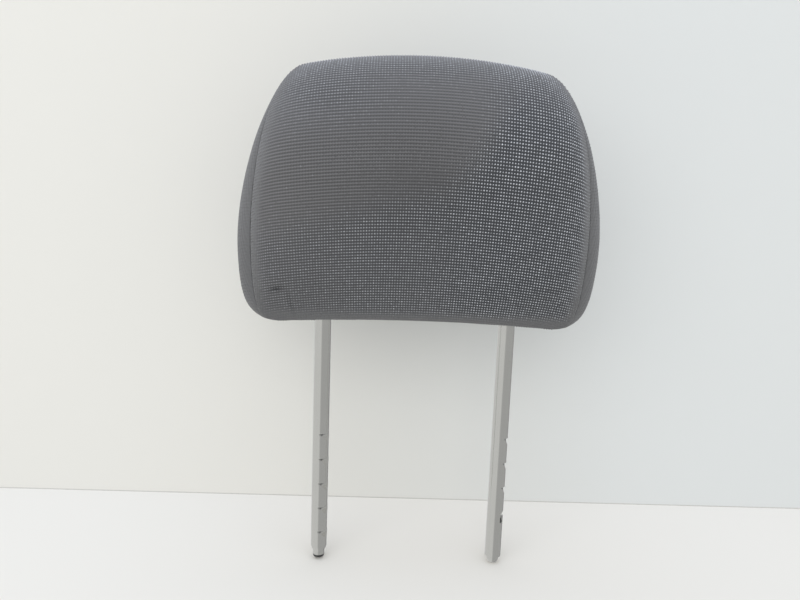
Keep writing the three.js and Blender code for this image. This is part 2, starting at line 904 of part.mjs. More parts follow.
function bossPlaces() {
  const places = [];
  for (const row of [-1, 1]) {
    for (const column of [-1, 1]) {
      places.push({
        x: column * bossSpacingX / 2,
        z: bossCentreHeight + row * bossSpacingZ / 2,
      });
    }
  }
  return places;
}

function alongDepth(radius, place, from, to) {
  return cylinderSolid(
    radius,
    new THREE.Vector3(place.x, from, place.z),
    new THREE.Vector3(place.x, to, place.z),
    bossSides,
  );
}

// Ribs that cross the hollow half shell and are cut to fit round the tube
function carrierRibs(side, depth) {
  const near = side * seatGap / 2;
  const far = side * (depth - carrierWall / 2);
  const [lowY, highY] = [Math.min(near, far), Math.max(near, far)];
  const halfRib = ribThickness / 2;
  const reachX = carrierWidth / 2 - carrierWall / 2;
  const lowZ = carrierBottom + carrierWall / 2;
  const highZ = carrierTop - carrierWall / 2;
  const ribs = [];
  for (let i = 1; i <= horizontalRibCount; i += 1) {
    const z = THREE.MathUtils.lerp(carrierBottom, carrierTop, i / (horizontalRibCount + 1));
    ribs.push(boxSolid([-reachX, lowY, z - halfRib], [reachX, highY, z + halfRib]));
  }
  for (let i = 1; i <= verticalRibCount; i += 1) {
    const x = carrierWidth * (i / (verticalRibCount + 1) - 0.5);
    ribs.push(boxSolid([x - halfRib, lowY, lowZ], [x + halfRib, highY, highZ]));
  }
  return ribs;
}

// The tube with room round it, cut short just past the two ends of the carrier
function tubeRoom() {
  const low = carrierBottom - postDiameter;
  const end = [{ height: low, radius: postRadius + seatGap }];
  return sweepSolid(tubeStations(end, end, -seatGap));
}

function makeCarrier(side) {
  const depth = side < 0 ? carrierFrontDepth : carrierRearDepth;
  const body = plateSolid(0, seatGap / 2, depth, side, carrierBevel);
  const hollow = plateSolid(-carrierWall, 0, depth - carrierWall, side);
  const bosses = bossPlaces().map((place) => {
    const root = side * (depth - carrierWall / 2);
    return alongDepth(bossRadius, place, side * seatGap / 2, root);
  });
  const ribs = carrierRibs(side, depth).map((rib) => rib.intersect(body));
  const shell = join([body.subtract(hollow), ...ribs, ...bosses]);
  const holes = bossPlaces().flatMap((place) => {
    if (side < 0) {
      return [alongDepth(pilotRadius, place, overrun, carrierWall - carrierFrontDepth)];
    }
    const recess = carrierRearDepth - screwHeadHeight - seatGap;
    return [
      alongDepth(pilotRadius, place, -overrun, depth + overrun),
      alongDepth(screwHeadRadius + seatGap, place, recess, depth + overrun),
    ];
  });
  return cut(shell, [tubeRoom(), ...holes]);
}

// A pan-head screw driven from the back of the carrier
function makeScrew(place) {
  const headFace = carrierRearDepth;
  const headSeat = headFace - screwHeadHeight;
  const tip = headFace - screwLength;
  const profile = [
    [0, tip],
    [screwTipRadius, tip],
    [screwShankRadius, tip + screwTipLength],
    [screwShankRadius, headSeat],
    [screwHeadRadius, headSeat],
    [screwHeadRadius, headSeat + screwHeadRim],
    [screwHeadTopRadius, headFace],
    [screwSocketRadius, headFace],
    [screwSocketRadius, headFace - screwSocketDepth],
    [0, headFace - screwSocketDepth],
  ].map(([radius, height]) => new THREE.Vector2(radius, height));
  const geometry = new THREE.LatheGeometry(profile, bossSides);
  geometry.translate(place.x, 0, place.z);
  return toSolid(geometry);
}

// The foam, moulded with a pocket for the carrier, two post holes and a closure groove
function makeFoamCore() {
  const body = makePadBody(cavityGap);
  const frontPocket = plateSolid(seatGap, -seatGap, carrierFrontDepth + seatGap, -1);
  const rearPocket = plateSolid(seatGap, -seatGap, carrierRearDepth + seatGap, 1);
  const grooveTop = closureBase() + closureHookHeight + closureGrooveMargin;
  const grooveReach = closureLength / 2 + closureGrooveMargin;
  const grooveSide = closureFlange + closureGrooveMargin;
  const groove = boxSolid(
    [-grooveReach, closureOffset - grooveSide, seamBottom - overrun],
    [grooveReach, closureOffset + grooveSide, grooveTop],
  );
  return cut(body, [
    frontPocket,
    rearPocket,
    groove,
    ...postHoles(seamBottom - overrun, carrierBottom + overrun),
  ]);
}

// Materials

function finish(color, roughness, metalness) {
  return () => new THREE.MeshStandardMaterial({ color, roughness, metalness });
}

const steel = finish(0xa9a8a0, 0.36, 1);
const blackPlastic = finish(0x161616, 0.5, 0);
const carrierPlastic = finish(0x2b2c2e, 0.6, 0);
const screwSteel = finish(0x8f9194, 0.4, 1);
const foam = finish(0xc9c2a6, 0.95, 0);
const meshFabric = finish(0x6a6b6e, 0.9, 0);
const profilePlastic = finish(0x3a3a3c, 0.55, 0);

// The assembly

const group = new THREE.Group();
group.name = 'car_headrest';

function addPiece(name, solid, material) {
  const mesh = new THREE.Mesh(toGeometry(solid), material());
  mesh.name = name;
  group.add(mesh);
}

addPiece('post_frame', makePostFrame(), steel);
addPiece('end_plug', makeEndPlug(), blackPlastic);
addPiece('carrier_front', makeCarrier(-1), carrierPlastic);
addPiece('carrier_rear', makeCarrier(1), carrierPlastic);
bossPlaces().forEach((place, i) => {
  addPiece(`carrier_screw_${i + 1}`, makeScrew(place), screwSteel);
});
addPiece('foam_core', makeFoamCore(), foam);
addPiece('cover_main', makeMainCover(), meshFabric);
addPiece('cover_side_left', makeSideCover(-1), meshFabric);
addPiece('cover_side_right', makeSideCover(1), meshFabric);
addPiece('closure_hook', makeClosureHook(), profilePlastic);
addPiece('closure_channel', makeClosureChannel(), profilePlastic);

export default group;
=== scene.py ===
"""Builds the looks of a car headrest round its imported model, in metres, +Z up along the posts."""

import math

import bmesh
import bpy
import numpy as np
from mathutils import Matrix, Vector
from mathutils.bvhtree import BVHTree
from mathutils.interpolate import poly_3d_calc


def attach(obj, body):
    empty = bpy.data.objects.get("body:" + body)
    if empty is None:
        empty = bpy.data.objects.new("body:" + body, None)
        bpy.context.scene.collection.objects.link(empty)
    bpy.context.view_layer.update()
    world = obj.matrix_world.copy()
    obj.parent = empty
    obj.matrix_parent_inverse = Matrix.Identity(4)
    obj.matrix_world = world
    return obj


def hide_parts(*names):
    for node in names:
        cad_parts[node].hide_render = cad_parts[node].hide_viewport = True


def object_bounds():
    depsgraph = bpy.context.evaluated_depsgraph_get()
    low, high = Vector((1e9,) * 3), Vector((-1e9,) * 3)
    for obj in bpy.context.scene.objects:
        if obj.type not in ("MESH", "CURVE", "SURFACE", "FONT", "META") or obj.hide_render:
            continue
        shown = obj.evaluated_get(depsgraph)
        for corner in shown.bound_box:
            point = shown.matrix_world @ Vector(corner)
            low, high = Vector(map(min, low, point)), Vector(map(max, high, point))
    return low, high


bl_info = {
    "name": "Car Headrest",
    "version": (1, 0, 0),
    "blender": (4, 5, 0),
    "location": "3D View > Sidebar > Headrest",
    "description": "Builds a knitted car headrest on two notched steel posts",
    "category": "Add Mesh",
}

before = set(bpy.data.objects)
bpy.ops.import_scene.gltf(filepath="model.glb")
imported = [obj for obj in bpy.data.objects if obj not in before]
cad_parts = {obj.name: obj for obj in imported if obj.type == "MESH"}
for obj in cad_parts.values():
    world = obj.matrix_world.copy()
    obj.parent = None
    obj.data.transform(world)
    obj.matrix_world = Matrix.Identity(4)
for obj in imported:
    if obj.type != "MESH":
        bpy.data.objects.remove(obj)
MODEL_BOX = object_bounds()
MM = 0.001
FLOOR_GAP = 0.0002
BODY = "root"
SHADE_POWER = 1.5  # spreads the yarn's shades, with the finer steps at the dull end
ROW_ARCH_HALF = 122  # half width, in mm, over which the knitted rows rise
UNDERSIDE_TOP = 12  # below this height, in mm, the cover counts as underside
LAST_CLOTH_FRAME = 20
SEAM_HOLD = 7  # distance from a seam, in mm, within which the cloth is held
KNOT_MARGIN = 1.3  # distance of the strip's first knots from a seam, in mm
KNOT_TRACK_STEP = 0.8  # distance between the places where a column of knots is followed, in mm
KNOT_SUNK = 0.12  # share of a knot's height that lies in the cloth
HOLE_MARGIN, SLIT_MARGIN = 1.6, 1.4  # mm kept free of knots round a post hole and beside the slit
SIDE_SLANT = 14  # slant of the knitted rows on the side panels, in degrees
SIDE_MIDDLE = 85  # height of the middle of the side panels' rows, in mm
SIDE_COUNT = 90  # rows and columns laid to each side of that middle, before they are cut to the seam
SIDE_MARGIN = 1.5  # distance of the side panels' first knots from a seam, in mm
CREASE_SHARE = 0.6  # depth of the upright crease against the flat one
CLOTH = {
    "quality": 6,
    "mass": 0.3,
    "tension_stiffness": 15,
    "compression_stiffness": 15,
    "bending_stiffness": 0.5,
    "use_pressure": True,
    "uniform_pressure_force": 4,
}
CAMERA_PLACE = (-23.8, -480.4, 84.5)  # mm, fitted to the two posts in the photograph
CAMERA_TURNS = (8.22, 1.38, 2.13)  # pitch down, yaw and roll in degrees
STAGE_REACH, WALL_TOP = 4000, 3000  # mm
FLOOR_FADE = 0.985  # brightness of the floor's right-hand side against its left
# painted shadow: a grey line at the wall's foot
FOOT_AHEAD, FOOT_HEIGHT, FOOT_SHADE = 0.3, 0.9, 0.78  # the line at the wall's foot: mm, mm and brightness


# Sizes and colours that a user would change


def length(label, words, value):
    """A length property, given in millimetres and kept in metres."""
    return bpy.props.FloatProperty(
        name=label, description=words, default=value * MM, unit="LENGTH", precision=5
    )


def plain(label, words, value):
    """A plain number."""
    return bpy.props.FloatProperty(name=label, description=words, default=value, precision=3)


def turned(label, words, value):
    """An angle property, given in degrees."""
    return bpy.props.FloatProperty(
        name=label, description=words, default=math.radians(value), unit="ROTATION"
    )


def tint(label, words, value):
    """A colour property, in linear light."""
    return bpy.props.FloatVectorProperty(
        name=label, description=words, default=value, subtype="COLOR", size=3, min=0, max=1
    )


def count(label, words, value):
    """A whole number."""
    return bpy.props.IntProperty(name=label, description=words, default=value, min=1)


class HeadrestPadSizes(bpy.types.PropertyGroup):
    crest_height: length("Crest height", "Top of the pad above the origin", 190.1)
    underside_height: length("Underside height", "Lowest line of the underside's middle", 1.2)
    underside_offset: length("Underside offset", "Where the lowest line lies, back from the posts", -10)
    front_depth: length("Front depth", "How far the front stands ahead of the posts", 54)
    rear_depth: length("Rear depth", "How far the back stands behind the posts", 40)
    front_belt: length("Front belt height", "Where the front stands furthest out", 130)
    rear_belt: length("Rear belt height", "Where the back stands furthest out", 82)
    crest_offset: length("Crest offset", "Where the crest lies, back from the posts", -8.7)
    front_leave: plain("Front lower leave", "How flat the underside leaves towards the front", 0.25)
    front_arrive: plain("Front lower arrive", "How straight the lower front rises", 0.18)
    front_upper: plain("Front upper fullness", "How square the upper front is", 0.56)
    rear_lower: plain("Rear lower fullness", "How square the lower back is", 0.95)
    rear_upper: plain("Rear upper fullness", "How square the upper back is", 0.62)
    dish_depth: length("Dish depth", "How far the sides of the front stand ahead of its middle", 16.3)
    dish_start: length("Dish start height", "Where the dish starts", 2)
    dish_full: length("Dish full height", "Where the dish is deepest", 37.5)
    dish_fade: length("Dish fade height", "Where the dish starts to fade", 102)
    dish_end: length("Dish end height", "Where the dish has gone", 167)
    half_width: length("Half width", "Half of the widest place", 133)
    seam_half_width: length("Seam half width", "Half of the width between the two seams", 120.5)
    side_belt: length("Side belt height", "Where the sides stand furthest out", 49.8)
    underside_seam: length("Underside seam", "Where each seam crosses the underside", 104)
    underside_arch: length("Underside arch", "How far the underside drops towards the seams", 3.3)
    top_seam: length("Top seam", "Where each seam crosses the top", 87.5)
    top_arch: length("Top arch", "How far the top drops towards the seams", 9.2)
    lower_side: plain("Lower side fullness", "How square the lower corners are", 0.8)
    upper_side: plain("Upper side fullness", "How straight the sides rise", 0.38)
    shoulder: plain("Shoulder fullness", "How round the shoulders are", 0.19)
    shoulder_angle: turned("Shoulder angle", "Slope where the sides meet the top seam", 37.3)
    front_roll: length("Front roll", "How far the front rolls back to the seam", 18)
    rear_roll: length("Rear roll", "How far the back rolls forward to the seam", 14)
    rear_crown: plain("Rear crown share", "How much of the rear roll is spread over the back", 0.3)
    edge_power: plain("Edge exponent", "How tight the roll at the seams is", 9)
    side_roll: length("Side roll width", "How far from the seam the side panel becomes flat", 26)
    side_power: plain("Side exponent", "How full the side panel is", 4)
    seam_depth: length("Seam depth", "How far the sewn seams pull in", 0.6)
    seam_reach: length("Seam reach", "How wide the pull of a seam is", 1.1)
    puff: length("Puff", "Furthest that the stuffed cover may move when it fills", 1.0)
    cloth_mesh: length("Cloth mesh", "Size of the cloth's faces while the cover fills", 6)
    closure_offset: length("Closure offset", "Where the closure's slit lies, back from the posts", 2)
    crease_depth: length("Crease depth", "Depth of the small creases in the lower left corner", 0.9)


class HeadrestKnitSizes(bpy.types.PropertyGroup):
    column_pitch: length("Column pitch", "Distance between the columns of the knit", 1.895)
    row_pitch: length("Row pitch", "Distance between the rows of the knit", 2.22)
    knot_radius: length("Knot radius", "Radius of one raised knot of yarn", 0.54)
    knot_height: length("Knot height", "How far a knot stands out of the cloth", 0.62)
    bright: tint("Bright yarn", "Colour of the cleanest knots", (0.70, 0.725, 0.765))
    dull: tint("Dull yarn", "Colour of the greyest knots", (0.105, 0.104, 0.106))
    shades: count("Shades of yarn", "Number of steps from dull to bright", 8)
    ground: tint("Ground", "Colour of the cloth between clean knots", (0.046, 0.049, 0.055))
    ground_yarn: tint("Ground yarn", "Colour of the yarn that links clean knots", (0.10, 0.104, 0.112))
    worn_ground: tint("Worn ground", "Colour of the cloth where use has greyed it", (0.092, 0.091, 0.094))
    # painted sheen: a lighter grey for the side panels, the seams and the lower edge
    side_sheen_ground: tint("Side ground", "Colour of the smooth cloth at the seams", (0.150, 0.151, 0.154))
    worn_yarn: tint("Worn yarn", "Colour of the yarn where use has greyed it", (0.205, 0.204, 0.208))


class HeadrestPostSizes(bpy.types.PropertyGroup):
    spacing: length("Post spacing", "Distance between the two post axes", 140)
    diameter: length("Post diameter", "Outside diameter of the tube", 12.7)
    left_drop: length("Left drop", "How far the left post reaches down", 191.5)
    right_drop: length("Right drop", "How far the right post reaches down", 195.5)
    crossbar_height: length("Crossbar height", "Axis of the hidden crossbar", 128)
    bend_radius: length("Bend radius", "Radius of the two bends", 32)
    neck_diameter: length("Neck diameter", "Outside diameter of the swaged left end", 9.4)
    neck_length: length("Neck length", "Straight part of the swaged end", 1.6)
    neck_taper: length("Neck taper", "Length of the swaged taper", 6)
    mouth_radius: length("Mouth radius", "Radius of the open left end", 3.1)
    nose_length: length("Nose length", "Length of the closed right nose", 5)
    nose_shoulder: length("Nose shoulder", "Length of the taper above the nose", 1.2)
    nose_flat: length("Nose flat radius", "Radius of the flat under the nose", 1.6)
    notch_pitch: length("Notch pitch", "Distance between two lock notches", 20)
    first_notch: length("First notch drop", "Upper ledge of the highest notch", 90.7)
    left_count: count("Left notches", "Number of lock notches in the left post", 5)
    right_count: count("Right notches", "Number of lock notches in the right post", 3)
    notch_depth: length("Notch depth", "Depth of a lock notch", 1.4)
    notch_floor: length("Notch floor", "Height of a lock notch's floor", 2.1)
    notch_ramp: length("Notch ramp", "Height of a lock notch's ramp", 3.7)
    left_angle: turned("Left notch angle", "Way that the left notches face", -38)
    right_angle: turned("Right notch angle", "Way that the right notches face", -8)
    stop_depth: length("Stop notch depth", "Depth of the stop notch", 2.1)
    stop_ramp: length("Stop notch ramp", "Height of the stop notch's ramp", 2.6)
    stop_floor: length("Stop notch floor", "Height of the stop notch's floor", 2.5)
    slot_height: length("Slot height", "Height of the slot under the stop notch", 4.2)
    slot_width: length("Slot width", "Width of the slot", 3.6)
    slot_floor: length("Slot floor radius", "How near to the axis the slot reaches", 1.6)
    slot_angle: turned("Slot angle", "Way that the slot faces", -27)
    mark_height: length("Mark height", "Height of the tool's mark beside a notch", 2.0)
    lip_height: length("Lip height", "Metal pushed up above a notch", 0.2)
    edge_softness: length("Edge softness", "Rounding of the coined edges", 0.16)
    steel: tint("Steel", "Colour of the plated steel", (0.66, 0.655, 0.62))
    # painted shade: the near black that stands for the shade in the slot, the bore and the notch marks
    painted_steel_shade: tint("Dark steel", "Colour deep in the slot", (0.02, 0.02, 0.02))


class HeadrestStageSizes(bpy.types.PropertyGroup):
    wall_distance: length("Wall distance", "Wall behind the posts", 109)
    floor_colour: tint("Floor colour", "Plain pale floor", (0.755, 0.735, 0.68))
    wall_colour: tint("Wall colour", "Plain pale wall", (0.785, 0.775, 0.73))
    far_wall_colour: tint("Far wall colour", "The wall's right-hand side", (0.74, 0.755, 0.74))
    lens: plain("Lens", "Focal length of the camera in mm", 28.8)


# Arithmetic with sockets


class Value:
    """A node's output that can stand in Python arithmetic."""

    def __init__(self, graph, socket):
        self.graph = graph
        self.socket = socket

    def math(self, operation, first, second=0.0):
        return self.graph.node("ShaderNodeMath", {"operation": operation}, {0: first, 1: second})

    def __add__(self, other):
        return self.math("ADD", self, other)

    __radd__ = __add__

    def __rsub__(self, other):
        return self.math("SUBTRACT", other, self)

    def __mul__(self, other):
        return self.math("MULTIPLY", self, other)

    def __gt__(self, other):
        return self.math("GREATER_THAN", self, other)

    def __abs__(self):
        return self.math("ABSOLUTE", self)


class Graph:
    """Adds nodes to one tree, each with its settings first and then its sockets."""

    def __init__(self, tree):
        self.tree = tree
        tree.nodes.clear()

    def node(self, kind, settings=None, values=None, out=0):
        """Adds a node and gives back one of its outputs, or the node itself if it has none."""
        made = self.tree.nodes.new(kind)
        for name, setting in (settings or {}).items():
            setattr(made, name, setting)
        for name, value in (values or {}).items():
            socket = made.inputs[name]
            if isinstance(value, Value):
                self.tree.links.new(value.socket, socket)
            else:
                socket.default_value = value
        return Value(self, made.outputs[out]) if len(made.outputs) else made

    def split(self, vector):
        """The three parts of a vector."""
        made = self.node("ShaderNodeSeparateXYZ", None, {0: vector}).socket.node
        return [Value(self, made.outputs[i]) for i in range(3)]

    def mix(self, share, low, high):
        """A blend of two colours."""
        made = self.node("ShaderNodeMix", {"data_type": "RGBA"}, {0: share, 6: low, 7: high}).socket.node
        return Value(self, made.outputs[2])

    def step(self, value, low, high):
        """A smooth step from 0 to 1."""
        values = {"Value": value, "From Min": low, "From Max": high}
        return self.node("ShaderNodeMapRange", {"interpolation_type": "SMOOTHSTEP"}, values)

    def noise(self, place, scale, detail):
        values = {"Vector": place, "Scale": scale, "Detail": detail}
        return self.node("ShaderNodeTexNoise", None, values)

    def bump(self, height, distance):
        values = {"Strength": 1.0, "Distance": distance, "Height": height}
        return self.node("ShaderNodeBump", None, values)

    def object_place(self):
        return self.node("ShaderNodeTexCoord", out=3)

    def mark(self, name):
        """A number kept on the points of a mesh."""
        return self.node("ShaderNodeAttribute", {"attribute_name": name}, out=2)

    def surface(self, values):
        """Wires a principled surface to the material's output."""
        shader = self.node("ShaderNodeBsdfPrincipled", None, values)
        self.node("ShaderNodeOutputMaterial", None, {"Surface": shader})


def rgba(colour, share=1.0):
    """A colour for a socket, darkened or lightened by a share."""
    return (*(c * share for c in colour), 1.0)


def new_material(name):
    material = bpy.data.materials.new(name)
    material.use_nodes = True
    return material, Graph(material.node_tree)


# Finishes


def knit_ground(sizes):
    """The dark cloth between the knots, with the lighter yarn that links them."""
    material, graph = new_material("knit_ground")
    u, v, _ = graph.split(graph.node("ShaderNodeUVMap", {"uv_map": "knit"}))
    across, along = (
        abs(graph.node("ShaderNodeMath", {"operation": "WRAP"}, {0: part, 1: 0.5, 2: -0.5}))
        for part in (u, v)
    )
    row_yarn = 1 - graph.step(along, 0.08, 0.34)
    column_yarn = 1 - graph.step(across, 0.05, 0.3)
    yarn = row_yarn * 0.4 + column_yarn * 0.35
    worn_yarn = row_yarn * 0.8 + column_yarn * 0.15
    cloud = graph.noise(graph.object_place(), 18, 4) * 0.8 + 0.6
    clean_tone = graph.mix(yarn * cloud, rgba(sizes.ground), rgba(sizes.ground_yarn))
    worn_tone = graph.mix(worn_yarn * cloud, rgba(sizes.worn_ground), rgba(sizes.worn_yarn))
    # painted light: the crisp mark also makes the top crisper and brighter, as lit from above
    front_tone = graph.mix(graph.mark("clean"), worn_tone, clean_tone)
    # painted sheen: lighter plain cloth on the side panels, by the seams and over the lower edge
    tone = graph.mix(graph.mark("panel"), front_tone, rgba(sizes.side_sheen_ground))
    # painted shade: darker towards the bottom and along the creases, and a darker patch in the middle
    colour = graph.mix(graph.mark("soil"), tone, rgba(sizes.ground, 0.45))
    graph.surface({
        "Base Color": colour,
        "Roughness": 0.9,
        "Specular IOR Level": 0.25,
        "Sheen Weight": 0.25,
        "Sheen Roughness": 0.5,
        "Normal": graph.bump(yarn, 0.35 * MM),
    })
    return material


def yarn_finish(name, colour):
    """Yarn of one plain shade."""
    material, graph = new_material(name)
    graph.surface({
        "Base Color": rgba(colour),
        "Roughness": 0.75,
        "Specular IOR Level": 0.3,
        "Sheen Weight": 0.15,
        "Sheen Roughness": 0.5,
    })
    return material


def satin_steel(sizes):
    """Plated steel with a faint drawn grain and a few handling marks, and painted shade near black where the
    pit mark lies.
    """
    material, graph = new_material("satin_steel")
    place = graph.object_place()
    drawn = graph.node("ShaderNodeMapping", None, {"Vector": place, "Scale": (2600.0, 2600.0, 60.0)})
    grain = graph.noise(drawn, 1.0, 2)
    cloud = graph.noise(place, 55, 4)
    tone = graph.mix(cloud * 0.35, rgba(sizes.steel), rgba(sizes.steel, 0.86))
    # painted shade: the steel turns near black where the pit mark lies
    colour = graph.mix(graph.mark("pit"), tone, rgba(sizes.painted_steel_shade))
    graph.surface({
        "Base Color": colour,
        "Metallic": 1.0,
        "Roughness": cloud * 0.06 + grain * 0.05 + 0.13,
        "Normal": graph.bump(grain, 0.004 * MM),
    })
    return material


def clouded(graph, colour, scale, dark, light=1.0):
    """A slow change over the surface, and a colour that it varies between two shades."""
    cloud = graph.noise(graph.object_place(), scale, 3)
    return cloud, graph.mix(cloud, rgba(colour, dark), rgba(colour, light))


def moulded_plastic(name, colour, roughness):
    """Plastic with the fine grain of its mould."""
    material, graph = new_material(name)
    cloud, tone = clouded(graph, colour, 60, 0.8, 1.2)
    graph.surface({
        "Base Color": tone,
        "Roughness": cloud * 0.1 + roughness,
        "Normal": graph.bump(graph.noise(graph.object_place(), 2400, 2), 0.02 * MM),
    })
    return material


def open_foam(colour):
    """Foam with open cells of about a millimetre."""
    material, graph = new_material("open_foam")
    _, tone = clouded(graph, colour, 30, 0.85)
    cells = graph.node("ShaderNodeTexVoronoi", None, {"Vector": graph.object_place(), "Scale": 900.0})
    graph.surface({"Base Color": tone, "Roughness": 0.95, "Normal": graph.bump(cells, 0.3 * MM)})
    return material


def plated_screw(colour):
    """Plated steel that is duller in places."""
    material, graph = new_material("plated_screw")
    cloud, tone = clouded(graph, colour, 300, 0.8)
    graph.surface({"Base Color": tone, "Metallic": 1.0, "Roughness": cloud * 0.15 + 0.3})
    return material


# The form of the pad, in millimetres


def read_sizes(target, group):
    """Copies a property group's values to an object, with its lengths in millimetres."""
    for name in group.__annotations__:
        value = getattr(group, name)
        unit = getattr(group.bl_rna.properties[name], "unit", "NONE")
        setattr(target, name, value / MM if unit == "LENGTH" else value)


def bezier(a, b, c, d, t):
    """Points of a cubic curve."""
    t = t[:, None]
    a, b, c, d = (np.array(p, float) for p in (a, b, c, d))
    return (1 - t) ** 3 * a + 3 * t * (1 - t) ** 2 * b + 3 * t * t * (1 - t) * c + t ** 3 * d


def corner_turn(start, corner, end, leave, arrive, t):
    """A curve that leaves its start and reaches its end along the two sides of a corner."""
    start, corner, end = (np.array(p, float) for p in (start, corner, end))
    return bezier(start, start + (corner - start) * leave, end + (corner - end) * arrive, end, t)


def ease(x, low, high):
    """A smooth step from 0 at low to 1 at high."""
    t = np.clip((x - low) / (high - low), 0, 1)
    return t * t * (3 - 2 * t)


def lengths_along(points):
    """Distance of each point of a line from its start."""
    return np.r_[0, np.cumsum(np.linalg.norm(np.diff(points, axis=0), axis=1))]


class PadForm:
    """The pad's surface: a strip over front, top, back and underside, and two side panels."""

    def __init__(self, pad, knit):
        read_sizes(self, pad)
        self.column_pitch = knit.column_pitch / MM
        self.row_pitch = knit.row_pitch / MM
        self.seam_bottom = self.underside_height - self.underside_arch
        self.seam_top = self.crest_height - self.top_arch
        self.centre = self.side_loop(
            self.front_depth, self.rear_depth, self.underside_height, self.crest_height
        )
        self.seam = self.side_loop(
            self.front_depth - self.front_roll,
            self.rear_depth - self.rear_roll,
            self.seam_bottom,
            self.seam_top,
        )
        self.path = lengths_along(self.centre)
        self.outline = self.front_outline(self.seam_half_width)
        self.side_outline = self.front_outline(self.half_width)

    def side_loop(self, front, rear, bottom, top, steps=400):
        """The closed loop in (y, z), from the middle of the underside forwards and over the top."""
        t = np.linspace(0, 1, steps, endpoint=False)
        under, crest = (self.underside_offset, bottom), (self.crest_offset, top)
        front_belt, rear_belt = (-front, self.front_belt), (rear, self.rear_belt)
        quarters = [
            corner_turn(under, (-front, bottom), front_belt, self.front_leave, self.front_arrive, t),
            corner_turn(front_belt, (-front, top), crest, self.front_upper, self.front_upper, t),
            corner_turn(crest, (rear, top), rear_belt, self.rear_upper, self.rear_upper, t),
            corner_turn(rear_belt, (rear, bottom), under, self.rear_lower, self.rear_lower, t),
        ]
        return np.vstack([*quarters, [under]])

    def front_outline(self, half):
        """Half of the outline in (x, z), from the underside to the top seam."""
        t = np.linspace(0, 1, 80)
        low, high = (self.underside_seam, self.seam_bottom), (self.top_seam, self.seam_top)
        belt = (half, self.side_belt)
        lower = corner_turn(low, (half, self.seam_bottom), belt, self.lower_side, self.lower_side, t)
        rise = self.seam_top - self.side_belt
        leave = (half, self.side_belt + rise * self.upper_side)
        reach = rise * self.shoulder
        slope = self.shoulder_angle
        arrive = (high[0] + reach * math.cos(slope), high[1] - reach * math.sin(slope))
        return np.vstack([lower, bezier(belt, leave, arrive, high, t)[1:]])

    def half_at(self, z):
        return np.interp(z, self.outline[:, 1], self.outline[:, 0])

    def along(self, loop, s):
        """Places on one of the side loops at lengths s along the middle one."""
        return np.stack([np.interp(s, self.path, loop[:, k]) for k in (0, 1)], -1)

    def strip(self, s, a):
        """Points of the strip at lengths s along its middle and shares a across it."""
        middle, edge = self.along(self.centre, s), self.along(self.seam, s)
        slope = np.gradient(self.centre, axis=0)
        slope /= np.linalg.norm(slope, axis=1)[:, None] + 1e-9
        level = np.interp(s, self.path, slope[:, 0] ** 2)
        flat = np.where(middle[:, 0] > 0, self.rear_crown, 0)
        crown = (flat + (1 - flat) * level)[:, None]
        a = a[None, :]
        edge_share = np.abs(a) ** self.edge_power
        share = crown * a ** 2 + (1 - crown) * edge_share
        y = middle[:, :1] * (1 - share) + edge[:, :1] * share
        z = middle[:, 1:] * (1 - share) + edge[:, 1:] * share
        grow = ease(middle[:, 1], self.dish_start, self.dish_full)
        fade = 1 - ease(middle[:, 1], self.dish_fade, self.dish_end)
        dish = self.dish_depth * grow * fade * (middle[:, 0] < 0)
        y = y - dish[:, None] * (a ** 2 - edge_share)
        x = a * self.half_at(edge[:, 1])[:, None]
        return np.stack([x, y, z], -1)

    def seam_distance(self, y, z):
        """Distance from places seen from the side to the seam."""
        loop = self.seam[::6]
        start, run = loop[:-1], np.diff(loop, axis=0)
        flat = np.stack([np.ravel(y), np.ravel(z)], -1)
        best = np.full(len(flat), 1e9)
        for a, b in zip(start, run):
            t = np.clip((flat - a) @ b / (b @ b + 1e-12), 0, 1)
            best = np.minimum(best, np.linalg.norm(flat - a - t[:, None] * b, axis=1))
        return best.reshape(np.shape(y))

    def side_reach(self, y, z):
        """How far out the side panel stands at places seen from the side."""
        inner = self.half_at(z)
        outer = np.interp(z, self.side_outline[:, 1], self.side_outline[:, 0])
        share = np.clip(self.seam_distance(y, z) / self.side_roll, 0, 1)
        return inner + (outer - inner) * (1 - (1 - share) ** self.side_power)

    def row_arch(self, z):
        """How far the knitted rows rise at the seams, more so near the top."""
        z = z / 190
        return 9.0 + 6.7 * z + 1.5 * z * z


def from_middle(points):
    """Lengths across a grid of points, from its middle column."""
    across = np.linalg.norm(np.diff(points, axis=1), axis=2)
    u = np.concatenate([np.zeros((len(points), 1)), np.cumsum(across, axis=1)], axis=1)
    return u - u[:, points.shape[1] // 2][:, None]


def unit_normals(points):
    """Normals of a grid of points, pointing out where rows run up the front and columns to +X."""
    across = np.gradient(points, axis=1)
    along = np.gradient(points, axis=0)
    normal = np.cross(across, along)
    return normal / (np.linalg.norm(normal, axis=-1)[..., None] + 1e-12)


def spaced(marks):
    """Places between (place, step) marks, each stretch cut to its own step."""
    out = [marks[0][0]]
    for (start, step), (end, _) in zip(marks, marks[1:]):
        pieces = max(1, round((end - start) / step))
        out.extend(start + (end - start) * (i + 1) / pieces for i in range(pieces))
    return np.array(out)


def make_mesh(name, points, faces, material, smooth=True):
    """A mesh object from points in millimetres."""
    mesh = bpy.data.meshes.new(name)
    mesh.from_pydata((np.asarray(points) * MM).tolist(), [], [tuple(map(int, f)) for f in faces])
    mesh.materials.append(material)
    if smooth:
        mesh.shade_smooth()
    mesh.update()
    piece = bpy.data.objects.new(name, mesh)
    bpy.context.scene.collection.objects.link(piece)
    return piece


def cut_caps(piece, turn_out=False):
    """Cuts the faces with many corners into triangles, and turns all faces outward if asked."""
    mesh = bmesh.new()
    mesh.from_mesh(piece.data)
    if turn_out:
        bmesh.ops.recalc_face_normals(mesh, faces=mesh.faces)
    bmesh.ops.triangulate(mesh, faces=[face for face in mesh.faces if len(face.verts) > 4])
    mesh.to_mesh(piece.data)
    mesh.free()


